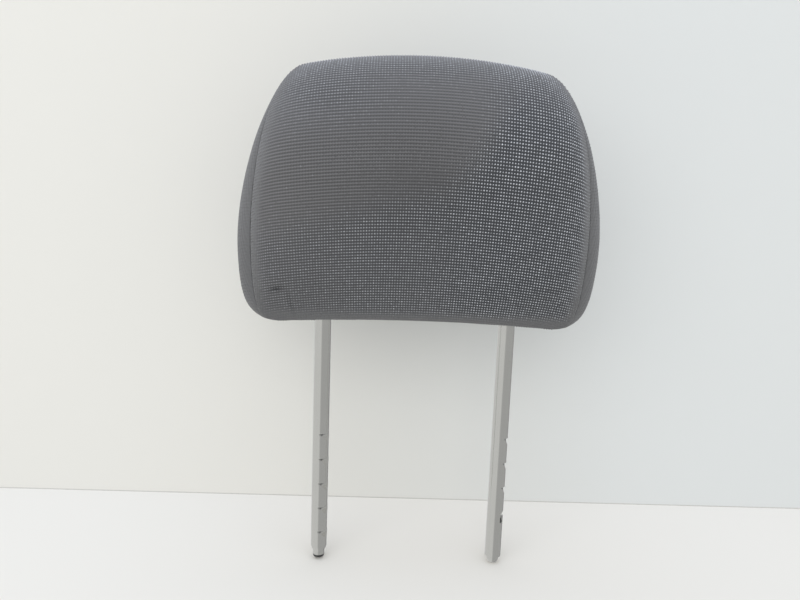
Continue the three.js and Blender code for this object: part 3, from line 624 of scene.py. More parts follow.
def mark_points(mesh, name, values):
    """Keeps one number for each point of a mesh."""
    mark = mesh.attributes.new(name, "FLOAT", "POINT")
    mark.data.foreach_set("value", values.astype(np.float32))


def settle(piece, replaced=()):
    """Makes a piece part of the object."""
    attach(piece, BODY)
    if replaced:
        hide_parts(*replaced)


class PadSkin:
    """The dressed surface: the form with its seams, post holes, closure and creases."""

    hole_gap, hole_rise = 0.9, 7.0
    slit_width, slit_rise = 0.8, 2.2
    ring_places, ring_reach = (0.5, 1.0, 1.6, 2.4, 3.5, 5, 7, 9.5, 12.5, 16, 20), 24.0
    hub_heights, hub_offset = (34.0, 150.0), 3

    def __init__(self, form, posts):
        self.form = form
        self.post_x = posts.spacing / MM / 2
        self.hole_radius = posts.diameter / MM / 2 + self.hole_gap
        total = form.path[-1]
        along = np.arange(0, total, 0.25)
        last = slice(-400, None)  # the last 100 mm, over the back half of the underside
        y = np.interp(along, form.path, form.centre[:, 0])
        self.slit = slit = np.interp(form.closure_offset, y[last][::-1], along[last][::-1])
        rows = [(0, 1.2), (12, 2.0), (slit - 26, 1.6), (slit - 9, 1.0), (slit - 2, 0.5), (slit + 2, 1.0)]
        self.s = spaced([*rows, (total, 1.0)])
        hole = self.post_x / form.underside_seam
        coarse, fine, finest = 0.0152, 0.009, 0.0025
        half = spaced([(0, coarse), (hole - 0.1, fine), (hole + 0.1, coarse), (0.985, finest), (1, finest)])
        self.a = np.r_[-half[::-1][:-1], half]

    def near_post(self, places):
        """Distance from the nearer post's axis, seen from above."""
        return np.hypot(np.abs(places[..., 0]) - self.post_x, places[..., 1])

    def seam_pull(self, normals):
        """The way that a seam pulls, half from the strip and half from the side panel."""
        pulls = []
        for side, column in ((-1, 0), (1, -1)):
            out = normals[:, column] + np.array([side, 0, 0])
            pulls.append(out / np.linalg.norm(out, axis=1)[:, None])
        return pulls

    def strip_points(self):
        """The strip's points with all that pulls at them, and the ways that its two seams pull."""
        form = self.form
        points = form.strip(self.s, self.a)
        normals = unit_normals(points)
        pulls = self.seam_pull(normals)
        edge_x = np.abs(points[:, -1, 0])
        gap = (1 - np.abs(self.a))[None, :] * edge_x[:, None]
        depth = form.seam_depth * np.exp(-((gap / form.seam_reach) ** 2))
        for side, pull in zip((-1, 1), pulls):
            mask = (self.a * side > 0)[None, :]
            points = points - (depth * mask)[..., None] * pull[:, None, :]
        low = points[..., 2] < UNDERSIDE_TOP
        hole = 1 - ease(self.near_post(points), self.hole_radius - 0.6, self.hole_radius + 1.0)
        points[..., 2] += low * self.hole_rise * hole
        slit = np.exp(-(((self.s - self.slit) / self.slit_width) ** 2))[:, None]
        points[..., 2] += self.slit_rise * slit * (1 - np.abs(self.a)[None, :] ** 12)
        flat, upright = creases(points)
        crease = form.crease_depth * (flat + CREASE_SHARE * upright)
        return points - crease[..., None] * normals, pulls

    def side_rings(self, side, pull):
        """Rings of one side panel, from beside the seam inwards."""
        form = self.form
        seam = form.along(form.seam, self.s)
        middle_y = (form.seam[:, 0].max() + form.seam[:, 0].min()) / 2 + self.hub_offset
        hub = np.stack([np.full(len(seam), middle_y), np.clip(seam[:, 1], *self.hub_heights)], -1)
        run = np.linalg.norm(hub - seam, axis=1)
        rings = []
        for near in self.ring_places:
            share = np.minimum(near / run, near / self.ring_reach)
            place = seam + (hub - seam) * share[:, None]
            x = form.side_reach(place[:, 0], place[:, 1])
            distance = np.linalg.norm(place - seam, axis=1)
            point = np.c_[side * x, place]
            depth = form.seam_depth * np.exp(-((distance / form.seam_reach) ** 2))
            rings.append(point - depth[:, None] * pull)
        return rings


def grid_faces(rows, columns, rows_close=False, columns_close=False):
    """Faces between the points of a grid, which may close on itself along or across."""
    faces = []
    for r in range(rows if rows_close else rows - 1):
        after = (r + 1) % rows
        for c in range(columns if columns_close else columns - 1):
            n = (c + 1) % columns
            faces.append((r * columns + c, r * columns + n, after * columns + n, after * columns + c))
    return faces


def build_pad_mesh(skin, name, material):
    """The whole cover as one closed mesh: the strip, and then the rings of its two side panels."""
    strip, pulls = skin.strip_points()
    strip = strip[:-1]
    rows, columns = strip.shape[:2]
    points = [strip.reshape(-1, 3)]
    faces = grid_faces(rows, columns, rows_close=True)
    start = rows * columns
    for side, column, pull in ((-1, 0, pulls[0]), (1, columns - 1, pulls[1])):
        index = [np.arange(rows) * columns + column]
        for ring in skin.side_rings(side, pull):
            index.append(start + np.arange(rows))
            points.append(ring[:-1])
            start += rows
        for inner, outer in zip(index[1:], index):
            for r in range(rows):
                n = (r + 1) % rows
                quad = (outer[r], outer[n], inner[n], inner[r])
                faces.append(quad if side > 0 else quad[::-1])
        cap = tuple(index[-1])
        faces.append(cap if side > 0 else cap[::-1])
    piece = make_mesh(name, np.vstack(points), faces, material)
    cut_caps(piece)
    return piece


def mesh_places(mesh):
    """A mesh's points in millimetres."""
    places = np.empty(len(mesh.vertices) * 3)
    mesh.vertices.foreach_get("co", places)
    return places.reshape(-1, 3) / MM


def evaluated_mesh(piece):
    """A plain copy of a piece's mesh with its modifiers applied."""
    return bpy.data.meshes.new_from_object(piece.evaluated_get(bpy.context.evaluated_depsgraph_get()))


def fill_cover(cover, skin):
    """Fills a coarse copy of the cover as cloth, held at its seams and underside, and moves
    the cover as far as the cloth moves."""
    form = skin.form
    cloth_piece = cover.copy()
    bpy.context.scene.collection.objects.link(cloth_piece)
    remesh = cloth_piece.modifiers.new("coarse", "REMESH")
    remesh.mode = "VOXEL"
    remesh.voxel_size = form.cloth_mesh * MM
    mesh = evaluated_mesh(cloth_piece)
    cloth_piece.modifiers.clear()
    cloth_piece.data = mesh
    rest = mesh_places(mesh)
    seams = form.strip(skin.s[::3], np.array([-1.0, 1.0])).reshape(-1, 3)
    to_seam = np.array([np.linalg.norm(seams - place, axis=1).min() for place in rest])
    still = (to_seam < SEAM_HOLD) | (rest[:, 2] < UNDERSIDE_TOP)
    held = cloth_piece.vertex_groups.new(name="held")
    held.add([int(i) for i in np.nonzero(still)[0]], 1.0, "REPLACE")
    settings = cloth_piece.modifiers.new("filling", "CLOTH").settings
    settings.vertex_group_mass = held.name
    for name, value in CLOTH.items():
        setattr(settings, name, value)
    settings.effector_weights.gravity = 0
    for step in range(1, LAST_CLOTH_FRAME + 1):
        bpy.context.scene.frame_set(step)
    filled = evaluated_mesh(cloth_piece)
    moved = mesh_places(filled) - rest
    bpy.context.scene.frame_set(1)
    size = np.linalg.norm(moved, axis=1)[:, None]
    moved *= form.puff * np.tanh(size / form.puff) / np.maximum(size, 1e-6)
    corners = [tuple(p.vertices) for p in mesh.polygons]
    vertices = [Vector(place) for place in rest]
    tree = BVHTree.FromPolygons(vertices, corners)
    places = mesh_places(cover.data)
    for i, place in enumerate(places.copy()):
        near, _, face, _ = tree.find_nearest(Vector(place))
        weights = poly_3d_calc([vertices[k] for k in corners[face]], near)
        places[i] += np.array(weights) @ moved[list(corners[face])]
    cover.data.vertices.foreach_set("co", (places * MM).astype(np.float32).ravel())
    cover.data.update()
    bpy.data.objects.remove(cloth_piece)
    bpy.data.meshes.remove(filled)
    bpy.data.meshes.remove(mesh)


def creases(places):
    """How near places are to the two small creases, one flat and one upright, that handling has
    left in the front's lower left corner."""
    x, y, z = np.moveaxis(places, -1, 0)
    front = y < 0
    flat = np.exp(-(((z - 24.5 - 0.2 * (x + 101)) / 1.5) ** 2) - ((x + 101) / 5.0) ** 2)
    upright = np.exp(-(((x + 92 + 0.16 * (z - 15)) / 1.6) ** 2) - ((z - 14) / 8.0) ** 2)
    return flat * front, upright * front


def crisp_lit_share(places):
    """Where the knit is still crisp: on the right and low down, less in the middle and left, and at the top,
    where crisper knots make painted light from above.
    """
    x, y, z = np.moveaxis(places, -1, 0)
    worn_edge = 70 + 0.28 * (x + 82) + 0.028 * np.maximum(x - 10, 0) ** 2
    blend = 15 + 0.45 * np.maximum(x - 10, 0)
    crisp = 1 - ease((z - worn_edge) / blend, -1, 1)
    across = 0.30 + 0.30 * ease(x, -110, -10) + 0.40 * ease(x, -10, 60)
    front = crisp * across * (1 - 0.45 * ease(z, 135, 180))
    right = 0.62 * ease(x, 28, 60) * ease(z, 128, 158) * (1 - 0.45 * ease(z, 150, 182))
    corner = 0.38 * np.exp(-(((x + 66) / 34) ** 2) - ((z - 160) / 17) ** 2)
    # painted light: the top made crisper, so brighter, as lit from above
    top = 0.36 * ease(z, 162, 180)
    back = (y > 0) * 0.8
    return 1 - (1 - np.maximum(front, right)) * (1 - corner) * (1 - top) * (1 - back)


def front_darkening_share(places):
    """Where the front is painted darker: a patch in the middle, painted shade towards the bottom where the
    front faces down, and painted shade along the corner's creases.
    """
    x, y, z = np.moveaxis(places, -1, 0)
    front = y < 0
    middle = 0.32 * np.exp(-(((x + 5) / 62) ** 2) - ((z - 98) / 48) ** 2)
    # painted shade: darker towards the bottom, where the front faces down
    lower = 0.18 * (1 - ease(z, 20, 90))
    flat, upright = creases(places)
    # painted shade along the creases
    return np.clip((middle + lower) * front + 0.75 * flat + 0.3 * upright, 0, 1)


def plain_sheen_share(places, edge):
    """Where the knit is painted plain and lighter, as painted sheen: by the seams and over the lower edge."""
    return np.maximum(ease(edge, 0.90, 0.985), 1 - ease(places[:, 2], 2, 12))


def mark_wear_and_light(piece, skin):
    """Marks on the cover where the knit is crisp, with painted light at the top, where painted shade and a
    middle patch darken the front, and where painted sheen makes it plain.
    """
    places = mesh_places(piece.data)
    edge = np.ones(len(places))
    strip = np.abs(np.tile(skin.a, len(skin.s) - 1))
    edge[: len(strip)] = strip
    mark_points(piece.data, "clean", crisp_lit_share(places))
    mark_points(piece.data, "soil", front_darkening_share(places))
    mark_points(piece.data, "panel", plain_sheen_share(places, edge))


def knit_shades(places, form, spread):
    """How bright each knot is, from 0 to 1: grey where the cover is worn, darker under the front's painted
    shade, brighter with the painted light at the top, plainer under the painted sheen, with a little chance.
    """
    edge = np.abs(places[:, 0]) / form.half_at(places[:, 2])
    smooth = plain_sheen_share(places, edge)
    clean = crisp_lit_share(places) * (1 - smooth)
    chance = np.random.default_rng(spread).normal(size=len(places))
    level = 0.09 + 0.58 * clean - 0.16 * front_darkening_share(places) - 0.04 * smooth
    return np.clip(level + chance * (0.02 + 0.09 * clean), 0.01, 0.98) ** (1 / SHADE_POWER)


def map_knit(piece, skin):
    """A map in cells of the knit: across in columns and along in rows."""
    form = skin.form
    mesh = piece.data
    u = from_middle(form.strip(skin.s, skin.a))
    z = np.interp(skin.s, form.path, form.centre[:, 1])
    v = skin.s[:, None] + form.row_arch(z)[:, None] * (u / ROW_ARCH_HALF) ** 2
    rows, columns = u.shape[0] - 1, u.shape[1]
    cell = np.stack([u / form.column_pitch, v / form.row_pitch], -1)
    place = mesh_places(mesh)
    flat = np.stack([place[:, 1] / form.column_pitch, place[:, 2] / form.row_pitch], -1)
    corners = np.empty(len(mesh.loops), int)
    mesh.loops.foreach_get("vertex_index", corners)
    uv = flat[corners]
    on_strip = corners < rows * columns
    first = np.empty(len(mesh.polygons), int)
    total = np.empty(len(mesh.polygons), int)
    mesh.polygons.foreach_get("loop_start", first)
    mesh.polygons.foreach_get("loop_total", total)
    face_of = np.repeat(np.arange(len(first)), total)
    strip_face = np.arange(len(first)) < rows * (columns - 1)
    row, column = corners // columns, corners % columns
    closing = strip_face[face_of] & (row == 0) & (face_of >= (rows - 1) * (columns - 1))
    row = np.where(closing, rows, row)
    use = on_strip & strip_face[face_of]
    uv[use] = cell[row[use], column[use]]
    layer = mesh.uv_layers.new(name="knit")
    layer.uv.foreach_set("vector", uv.astype(np.float32).ravel())


def strip_knots(skin):
    """Places of the knit's raised knots on the strip, and the way that each one faces."""
    form = skin.form
    s = np.arange(0, form.path[-1], KNOT_TRACK_STEP)
    a = np.sin(np.linspace(-0.5, 0.5, 181) * math.pi)
    points = form.strip(s, a)
    normals = unit_normals(points)
    u = from_middle(points)
    arch = form.row_arch(np.interp(s, form.path, form.centre[:, 1]))
    places, facings = [], []
    most = int(u.max() / form.column_pitch)
    for column in range(-most, most + 1):
        want = column * form.column_pitch
        inside = (u[:, -1] - KNOT_MARGIN > want) & (u[:, 0] + KNOT_MARGIN < want)
        if inside.sum() < 3:
            continue
        v = s + arch * (want / ROW_ARCH_HALF) ** 2
        first, last = math.ceil(v[0] / form.row_pitch), math.floor(v[-1] / form.row_pitch)
        rows = np.arange(first, last + 1) * form.row_pitch
        rows = rows[np.interp(rows, v, inside.astype(float)) > 0.99]
        for found, grid in ((places, points), (facings, normals)):
            track = [[np.interp(want, u[i], grid[i, :, k]) for i in range(len(s))] for k in range(3)]
            found.append(np.stack([np.interp(rows, v, line) for line in track], -1))
    places, facings = np.vstack(places), np.vstack(facings)
    hole = skin.near_post(places) < skin.hole_radius + HOLE_MARGIN
    slit = np.abs(places[:, 1] - form.closure_offset) < SLIT_MARGIN
    free = ~((hole | slit) & (places[:, 2] < UNDERSIDE_TOP))
    return places[free], facings[free]


def laid_on(piece, places):
    """The nearest places on a piece and the way that its surface faces there."""
    mesh = piece.data
    tree = BVHTree.FromPolygons([v.co for v in mesh.vertices], [tuple(p.vertices) for p in mesh.polygons])
    found = [tree.find_nearest(Vector(place * MM)) for place in places]
    return np.array([f[0] for f in found]) / MM, np.array([f[1] for f in found])


def side_knots(skin, side):
    """Places of the knots on one side panel, in slanting rows."""
    form = skin.form
    slant = math.radians(SIDE_SLANT * side)
    grid = np.arange(-SIDE_COUNT, SIDE_COUNT + 1)
    c, r = np.meshgrid(grid * form.column_pitch, grid * form.row_pitch)
    y = c * math.cos(slant) - r * math.sin(slant)
    z = c * math.sin(slant) + r * math.cos(slant) + SIDE_MIDDLE
    y, z = y.ravel(), z.ravel()
    near = (y > form.seam[:, 0].min()) & (y < form.seam[:, 0].max())
    near &= (z > form.seam[:, 1].min()) & (z < form.seam[:, 1].max())
    y, z = y[near], z[near]
    loop = form.seam[::8]
    start, end = loop, np.roll(loop, -1, 0)
    crossing = (start[:, 1][None] > z[:, None]) != (end[:, 1][None] > z[:, None])
    with np.errstate(divide="ignore", invalid="ignore"):
        cut = start[:, 0] + (z[:, None] - start[:, 1]) / (end[:, 1] - start[:, 1]) * (end[:, 0] - start[:, 0])
    inside = (crossing & (y[:, None] < cut)).sum(1) % 2 == 1
    inside &= form.seam_distance(y, z) > SIDE_MARGIN
    y, z = y[inside], z[inside]
    return np.stack([side * form.side_reach(y, z), y, z], -1)


def knot_tree(shades):
    """A node tree that sets a small cone of yarn on every point, along the point's own normal."""
    tree = bpy.data.node_groups.new("raised_knots", "GeometryNodeTree")
    face = tree.interface
    face.new_socket("Geometry", in_out="INPUT", socket_type="NodeSocketGeometry")
    for label, value in (("Knot Radius", 0.0006), ("Knot Height", 0.0006), ("Size Spread", 0.14)):
        face.new_socket(label, in_out="INPUT", socket_type="NodeSocketFloat").default_value = value
    for shade in range(shades):
        face.new_socket("Yarn %d" % (shade + 1), in_out="INPUT", socket_type="NodeSocketMaterial")
    face.new_socket("Geometry", in_out="OUTPUT", socket_type="NodeSocketGeometry")
    graph = Graph(tree)
    source = tree.nodes.new("NodeGroupInput")
    given = {socket.name: Value(graph, socket) for socket in source.outputs if socket.name}
    cone = graph.node("GeometryNodeMeshCone", {"fill_type": "NONE"}, {
        "Vertices": 6, "Side Segments": 1, "Radius Top": 0.0,
        "Radius Bottom": given["Knot Radius"], "Depth": given["Knot Height"],
    })
    facing = graph.node("GeometryNodeInputNamedAttribute", {"data_type": "FLOAT_VECTOR"}, {"Name": "facing"})
    turn = graph.node("FunctionNodeAlignRotationToVector", {"axis": "Z"}, {"Vector": facing})
    spread = given["Size Spread"]
    limits = {2: 1 - spread, 3: 1 + spread, "Seed": 7}
    size = graph.node("FunctionNodeRandomValue", {"data_type": "FLOAT"}, limits, out=1)
    knots = graph.node("GeometryNodeInstanceOnPoints", None, {
        "Points": given["Geometry"], "Instance": cone, "Rotation": turn, "Scale": size,
    })
    real = graph.node("GeometryNodeRealizeInstances", None, {"Geometry": knots})
    smooth = graph.node("GeometryNodeSetShadeSmooth", None, {"Geometry": real})
    shade = graph.node("GeometryNodeInputNamedAttribute", {"data_type": "FLOAT"}, {"Name": "shade"})
    dyed = graph.node("GeometryNodeSetMaterial", None, {"Geometry": smooth, "Material": given["Yarn 1"]})
    for step in range(1, shades):
        dyed = graph.node("GeometryNodeSetMaterial", None, {
            "Geometry": dyed,
            "Selection": shade > step / shades,
            "Material": given["Yarn %d" % (step + 1)],
        })
    end = tree.nodes.new("NodeGroupOutput")
    tree.links.new(dyed.socket, end.inputs[0])
    return tree


def make_knots(name, places, facings, shades, knit, finishes):
    """One piece of raised knots, sunk a little so that none shows its open foot."""
    mesh = bpy.data.meshes.new(name)
    height = knit.knot_height / MM
    sunk = places - facings * height * KNOT_SUNK
    mesh.from_pydata((sunk * MM).tolist(), [], [])
    facing = mesh.attributes.new("facing", "FLOAT_VECTOR", "POINT")
    facing.data.foreach_set("vector", facings.astype(np.float32).ravel())
    mark_points(mesh, "shade", shades)
    seed = bpy.data.objects.new(name + "_points", mesh)
    bpy.context.scene.collection.objects.link(seed)
    tree = bpy.data.node_groups.get("raised_knots") or knot_tree(len(finishes))
    modifier = seed.modifiers.new("knots", "NODES")
    modifier.node_group = tree
    inputs = {item.name: item.identifier for item in tree.interface.items_tree if item.in_out == "INPUT"}
    modifier[inputs["Knot Radius"]] = knit.knot_radius
    modifier[inputs["Knot Height"]] = knit.knot_height
    for i, finish in enumerate(finishes):
        modifier[inputs["Yarn %d" % (i + 1)]] = finish
    seed.update_tag()
    plain_mesh = evaluated_mesh(seed)
    plain_mesh.name = name
    piece = bpy.data.objects.new(name, plain_mesh)
    bpy.context.scene.collection.objects.link(piece)
    bpy.data.objects.remove(seed)
    for left in [a.name for a in plain_mesh.attributes if a.name in ("facing", "shade")]:
        plain_mesh.attributes.remove(plain_mesh.attributes[left])
    return piece


# The posts


def turn_between(angle, facing):
    """How far an angle lies from the way that something faces, between half turns."""
    return np.mod(angle - facing + math.pi, 2 * math.pi) - math.pi


class PostForm:
    """The tube's surface: rings along its route whose radius changes round and along it."""

    # Ring heights, in mm, near the places where the surface turns
    near_end = (0, 0.15, 0.4, 0.8, 1.3, 2, 3, 4, 4.6, 5, 5.3, 5.7, 6.2, 6.8, 7.6)
    near_top = (1.8, 1.2, 0.8, 0.5, 0.3, 0.16, 0.08, 0, -0.08, -0.16, -0.3, -0.6, -1.2)
    near_floor = (0.2, 0.05, -0.1, -0.4, -1, -1.8, -2.6, -3.2, -3.7, -4.2)
    near_stop = (1, 0.4, 0, -0.6, -1.3, -2, -2.6, -3, -4)
    near_ledge = (0.5, 0.3, 0.16, 0.08, 0, -0.08, -0.16, -0.4, -1, -2)
    near_slot_end = (1, 0.5, 0.15, 0.05, -0.05, -0.15, -0.5)
    mark_depth = 0.3
    mouth_depth = 16
    cut_start = 0.6  # how far outside the tube a notch's cut starts

    def __init__(self, sizes):
        read_sizes(self, sizes)
        self.radius = self.diameter / 2
        self.neck = self.neck_diameter / 2
        self.sides = 96
        self.angle = np.arange(self.sides) / self.sides * 2 * math.pi
        self.stop_top = -self.first_notch - self.right_count * self.notch_pitch
        self.ledge = self.stop_top - self.stop_ramp - self.stop_floor

    def soft_least(self, a, b):
        """The lesser of two radii with the edge between them rounded."""
        k = self.edge_softness
        h = np.clip(0.5 + (b - a) / (2 * k), 0, 1)
        return b * (1 - h) + a * h - k * h * (1 - h)

    def notch_floor_at(self, z, top, depth, floor, ramp, downwards=True):
        """Distance of a notch's floor from the axis: a ledge, a floor and a ramp."""
        t = (top - z) if downwards else (z - top)
        rise = np.clip((t - floor) / ramp, 0, 1)
        deep = self.radius - depth + depth * rise
        inside = ease(t, -self.edge_softness, self.edge_softness)
        outside = self.radius + self.cut_start
        return outside - (outside - deep) * inside

    def flat_cut(self, angle, facing, distance):
        """Radius at which a flat face at a distance from the axis meets each side of the ring."""
        away = np.cos(angle - facing)
        return np.where(away > 0.05, distance / np.maximum(away, 0.05), 1e3)

    def left_radius(self, z, angle):
        end = -self.left_drop
        taper = ease(z, end + self.neck_length, end + self.neck_length + self.neck_taper)
        body = self.neck + (self.radius - self.neck) * taper + 0 * angle
        return self.coined(body, z, angle, self.left_count, self.left_angle)

    def coined(self, body, z, angle, count, facing):
        """A post with its row of lock notches, and where painted shade darkens them."""
        painted_shade = 0 * body
        for i in range(count):
            top = -self.first_notch - i * self.notch_pitch
            body, painted_shade = self.notched(body, painted_shade, z, angle, top, facing)
        return body, painted_shade

    def notched(self, body, painted_shade, z, angle, top, facing):
        """Coins one notch: its ledge, floor and ramp, the lip above it and the mark beside it, with painted
        shade in the mark's dent and in a line under the ledge.
        """
        turn = turn_between(angle, facing)
        floor = self.notch_floor_at(z, top, self.notch_depth, self.notch_floor, self.notch_ramp)
        body = self.soft_least(body, self.flat_cut(angle, facing, floor))
        below = (top - z) / self.mark_height
        beside = (turn + 0.96) / 0.56
        # painted shade: the mark's dent is darkened
        mark = ease(1 - np.abs(beside - 0.45) * 1.5 - below, 0, 0.35) * ease(below, -0.12, 0.02)
        # painted shade: a dark line just under the ledge
        under = np.exp(-(((top - z - 0.35) / 0.3) ** 2)) * (np.abs(turn) < 0.72)
        lip = np.exp(-((turn + 0.15) / 0.86) ** 4) * np.exp(-(((z - top - 0.45) / 0.38) ** 2))
        body = body - self.mark_depth * mark + self.lip_height * lip
        return body, np.clip(painted_shade + 0.5 * mark + 0.45 * under, 0, 1)

    def right_radius(self, z, angle):
        end = -self.right_drop
        shoulder = ease(z, end + self.nose_length, end + self.nose_length + self.nose_shoulder)
        t = np.clip((z - end) / (self.nose_length - self.nose_shoulder), 0, 1)
        nose = self.nose_flat + (self.neck - self.nose_flat) * np.sqrt(np.clip(1 - (1 - t) ** 2, 0, 1))
        body = nose + (self.radius - self.neck) * shoulder + 0 * angle
        body, painted_shade = self.coined(body, z, angle, self.right_count, self.right_angle)
        floor = self.notch_floor_at(
            z, self.ledge, self.stop_depth, self.stop_floor, self.stop_ramp, downwards=False
        )
        body = self.soft_least(body, self.flat_cut(angle, self.right_angle, floor))
        turn = turn_between(angle, self.slot_angle)
        facing = np.cos(turn) > 0
        side = self.radius * np.sin(turn)
        half = self.slot_width / 2
        end = self.ledge - self.slot_height
        tall = ease(z, end - 0.15, end + 0.15) * (1 - ease(z, self.ledge - 0.1, self.ledge + 0.3))
        # painted shade: the slot's pit is painted near black for the dark inside of the hollow tube, with a
        # dark rim beside it
        pit = (1 - ease(np.abs(side), half - 0.2, half + 0.2)) * facing * tall
        rim_shade = 1 - ease(np.abs(side + 0.7), half + 0.6, half + 1.0)
        painted_shade = np.maximum(painted_shade, rim_shade * facing * tall)
        return body * (1 - pit) + self.slot_floor * pit, np.maximum(painted_shade, pit)

    def ring(self, x, radius, z):
        """One level ring round an upright axis."""
        return np.c_[x + radius * np.cos(self.angle), radius * np.sin(self.angle), np.full(self.sides, z)]

    def post_rings(self, x, end, count, radius_at, extra=()):
        """Rings of one post, from its end up to its bend, close together where its surface turns."""
        bend = self.crossbar_height - self.bend_radius
        heights = [end + k for k in self.near_end] + list(extra)
        for i in range(count):
            top = -self.first_notch - i * self.notch_pitch
            heights += [top + k for k in self.near_top]
            heights += [top - self.notch_floor + k for k in self.near_floor]
        heights += [*np.arange(end + 9, bend, 4.0), bend]
        rings = []
        for z in np.unique(np.round(heights, 3)):
            radius, painted_shade = radius_at(np.full(self.sides, z), self.angle)
            rings.append((self.ring(x, radius, z), painted_shade))
        return rings

    def bridge_rings(self):
        """Rings of the two bends and the crossbar, from the left post to the right one."""
        half = self.spacing / 2
        reach = self.radius * np.cos(self.angle)
        rings = []
        for side in (-1, 1):
            turns = np.linspace(0, math.pi / 2, 25)[1:]
            for turn in turns if side < 0 else turns[::-1]:
                out = half - self.bend_radius * (1 - math.cos(turn))
                high = self.crossbar_height - self.bend_radius + self.bend_radius * math.sin(turn)
                x = side * out + reach * math.cos(turn)
                z = high + side * reach * math.sin(turn)
                rings.append((np.c_[x, self.radius * np.sin(self.angle), z], 0 * self.angle))
        return rings

    def mouth_rings(self, x):
        """Rings of the bore behind the left post's open end, from its depth outwards; the deep rings carry
        painted shade.
        """
        end, bore = -self.left_drop, self.mouth_radius
        places = ((bore, end + self.mouth_depth), (bore, end + 0.2), (bore + 0.2, end))
        # painted shade: the rings deeper than a millimetre are painted dark
        return [(self.ring(x, radius, z), 0 * self.angle + (z > end + 1)) for radius, z in places]


def build_posts(sizes, finish):
    """The bent tube as one closed surface."""
    form = PostForm(sizes)
    half = form.spacing / 2
    extra = [form.stop_top + k for k in form.near_stop]
    extra += [form.ledge + k for k in form.near_ledge]
    extra += [form.ledge - form.slot_height + k for k in form.near_slot_end]
    left = form.post_rings(-half, -form.left_drop, form.left_count, form.left_radius)
    right = form.post_rings(half, -form.right_drop, form.right_count, form.right_radius, extra)
    rings = form.mouth_rings(-half) + left + form.bridge_rings() + right[::-1]
    points = np.vstack([ring for ring, _ in rings])
    painted_shade = np.concatenate([dark for _, dark in rings])
    sides, total = form.sides, len(rings)
    faces = grid_faces(total, sides, columns_close=True)
    faces.append(tuple(range(sides))[::-1])
    faces.append(tuple((total - 1) * sides + c for c in range(sides)))
    piece = make_mesh("post_tube", points, faces, finish)
    # painted shade: keeps where the steel is painted dark
    mark_points(piece.data, "pit", painted_shade)
    cut_caps(piece, turn_out=True)
    return piece


# Operators


class HEADREST_OT_pad(bpy.types.Operator):
    """Build the stuffed pad with its knitted cover, its seams and its raised knots"""

    bl_idname = "headrest.pad"
    bl_label = "Build Pad"

    def execute(self, context):
        scene = context.scene
        pad, knit, posts = scene.headrest_pad, scene.headrest_knit, scene.headrest_posts
        form = PadForm(pad, knit)
        skin = PadSkin(form, posts)
        cover = build_pad_mesh(skin, "pad_cover", knit_ground(knit))
        map_knit(cover, skin)
        fill_cover(cover, skin)
        mark_wear_and_light(cover, skin)
        settle(cover, ("cover_main", "cover_side_left", "cover_side_right"))
        dull, bright = np.array(knit.dull), np.array(knit.bright)
        finishes = []
        for step in range(knit.shades):
            colour = dull + (bright - dull) * ((step + 0.5) / knit.shades) ** SHADE_POWER
            finishes.append(yarn_finish("yarn_%d" % (step + 1), colour))
        places, facings = strip_knots(skin)
        front = facings[:, 1] < 0
        groups = [("knit_front", places[front]), ("knit_back", places[~front])]
        groups += [("knit_left_side", side_knots(skin, -1)), ("knit_right_side", side_knots(skin, 1))]
        for seed, (name, part) in enumerate(groups):
            laid, facing = laid_on(cover, part)
            shades = knit_shades(laid, form, seed)
            settle(make_knots(name, laid, facing, shades, knit, finishes))
        return {"FINISHED"}


class HEADREST_OT_posts(bpy.types.Operator):
    """Build the bent steel tube with its coined notches, slot, swaged end and nose"""

    bl_idname = "headrest.posts"
    bl_label = "Build Posts"

    def execute(self, context):
        sizes = context.scene.headrest_posts
        tube = build_posts(sizes, satin_steel(sizes))
        settle(tube, ("post_frame",))
        return {"FINISHED"}


class HEADREST_OT_finishes(bpy.types.Operator):
    """Give the pieces that keep their modelled shape their finishes"""

    bl_idname = "headrest.finishes"
    bl_label = "Finish Inner Parts"

    def execute(self, context):
        finishes = {
            "end_plug": moulded_plastic("black_plug", (0.02, 0.02, 0.02), 0.4),
            "foam_core": open_foam((0.75, 0.72, 0.6)),
            "carrier_screw": plated_screw((0.55, 0.56, 0.57)),
            "carrier": moulded_plastic("carrier_plastic", (0.03, 0.03, 0.034), 0.5),
            "closure": moulded_plastic("profile_plastic", (0.05, 0.05, 0.05), 0.45),
        }
        for name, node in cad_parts.items():
            finish = next((f for start, f in finishes.items() if name.startswith(start)), None)
            if finish:
                node.data.materials.clear()
                node.data.materials.append(finish)
        return {"FINISHED"}


def add_lamp(name, place, size, power, colour=(1, 1, 1)):
    """A soft rectangular lamp that points at the origin."""
    lamp = bpy.data.lights.new(name, "AREA")
    lamp.shape = "RECTANGLE"
    lamp.size, lamp.size_y = size
    lamp.energy = power
    lamp.color = colour
    holder = bpy.data.objects.new(name, lamp)
    bpy.context.scene.collection.objects.link(holder)
    turn = (-Vector(place)).to_track_quat("-Z", "Y").to_matrix().to_4x4()
    holder.matrix_world = Matrix.Translation(Vector(place)) @ turn


def stage_finish(name, colour, far_colour):
    """A plain paint that passes from one colour on the left to another on the right, and is
    clear from behind."""
    material, graph = new_material(name)
    x, _, _ = graph.split(graph.object_place())
    tone = graph.mix(graph.step(x, -0.2, 0.25), rgba(colour), rgba(far_colour))
    shader = graph.node("ShaderNodeBsdfDiffuse", None, {"Color": tone, "Roughness": 0.3})
    clear = graph.node("ShaderNodeBsdfTransparent")
    back = graph.node("ShaderNodeNewGeometry", out=6)
    both = graph.node("ShaderNodeMixShader", None, {0: back, 1: shader, 2: clear})
    graph.node("ShaderNodeOutputMaterial", None, {"Surface": both})
    return material


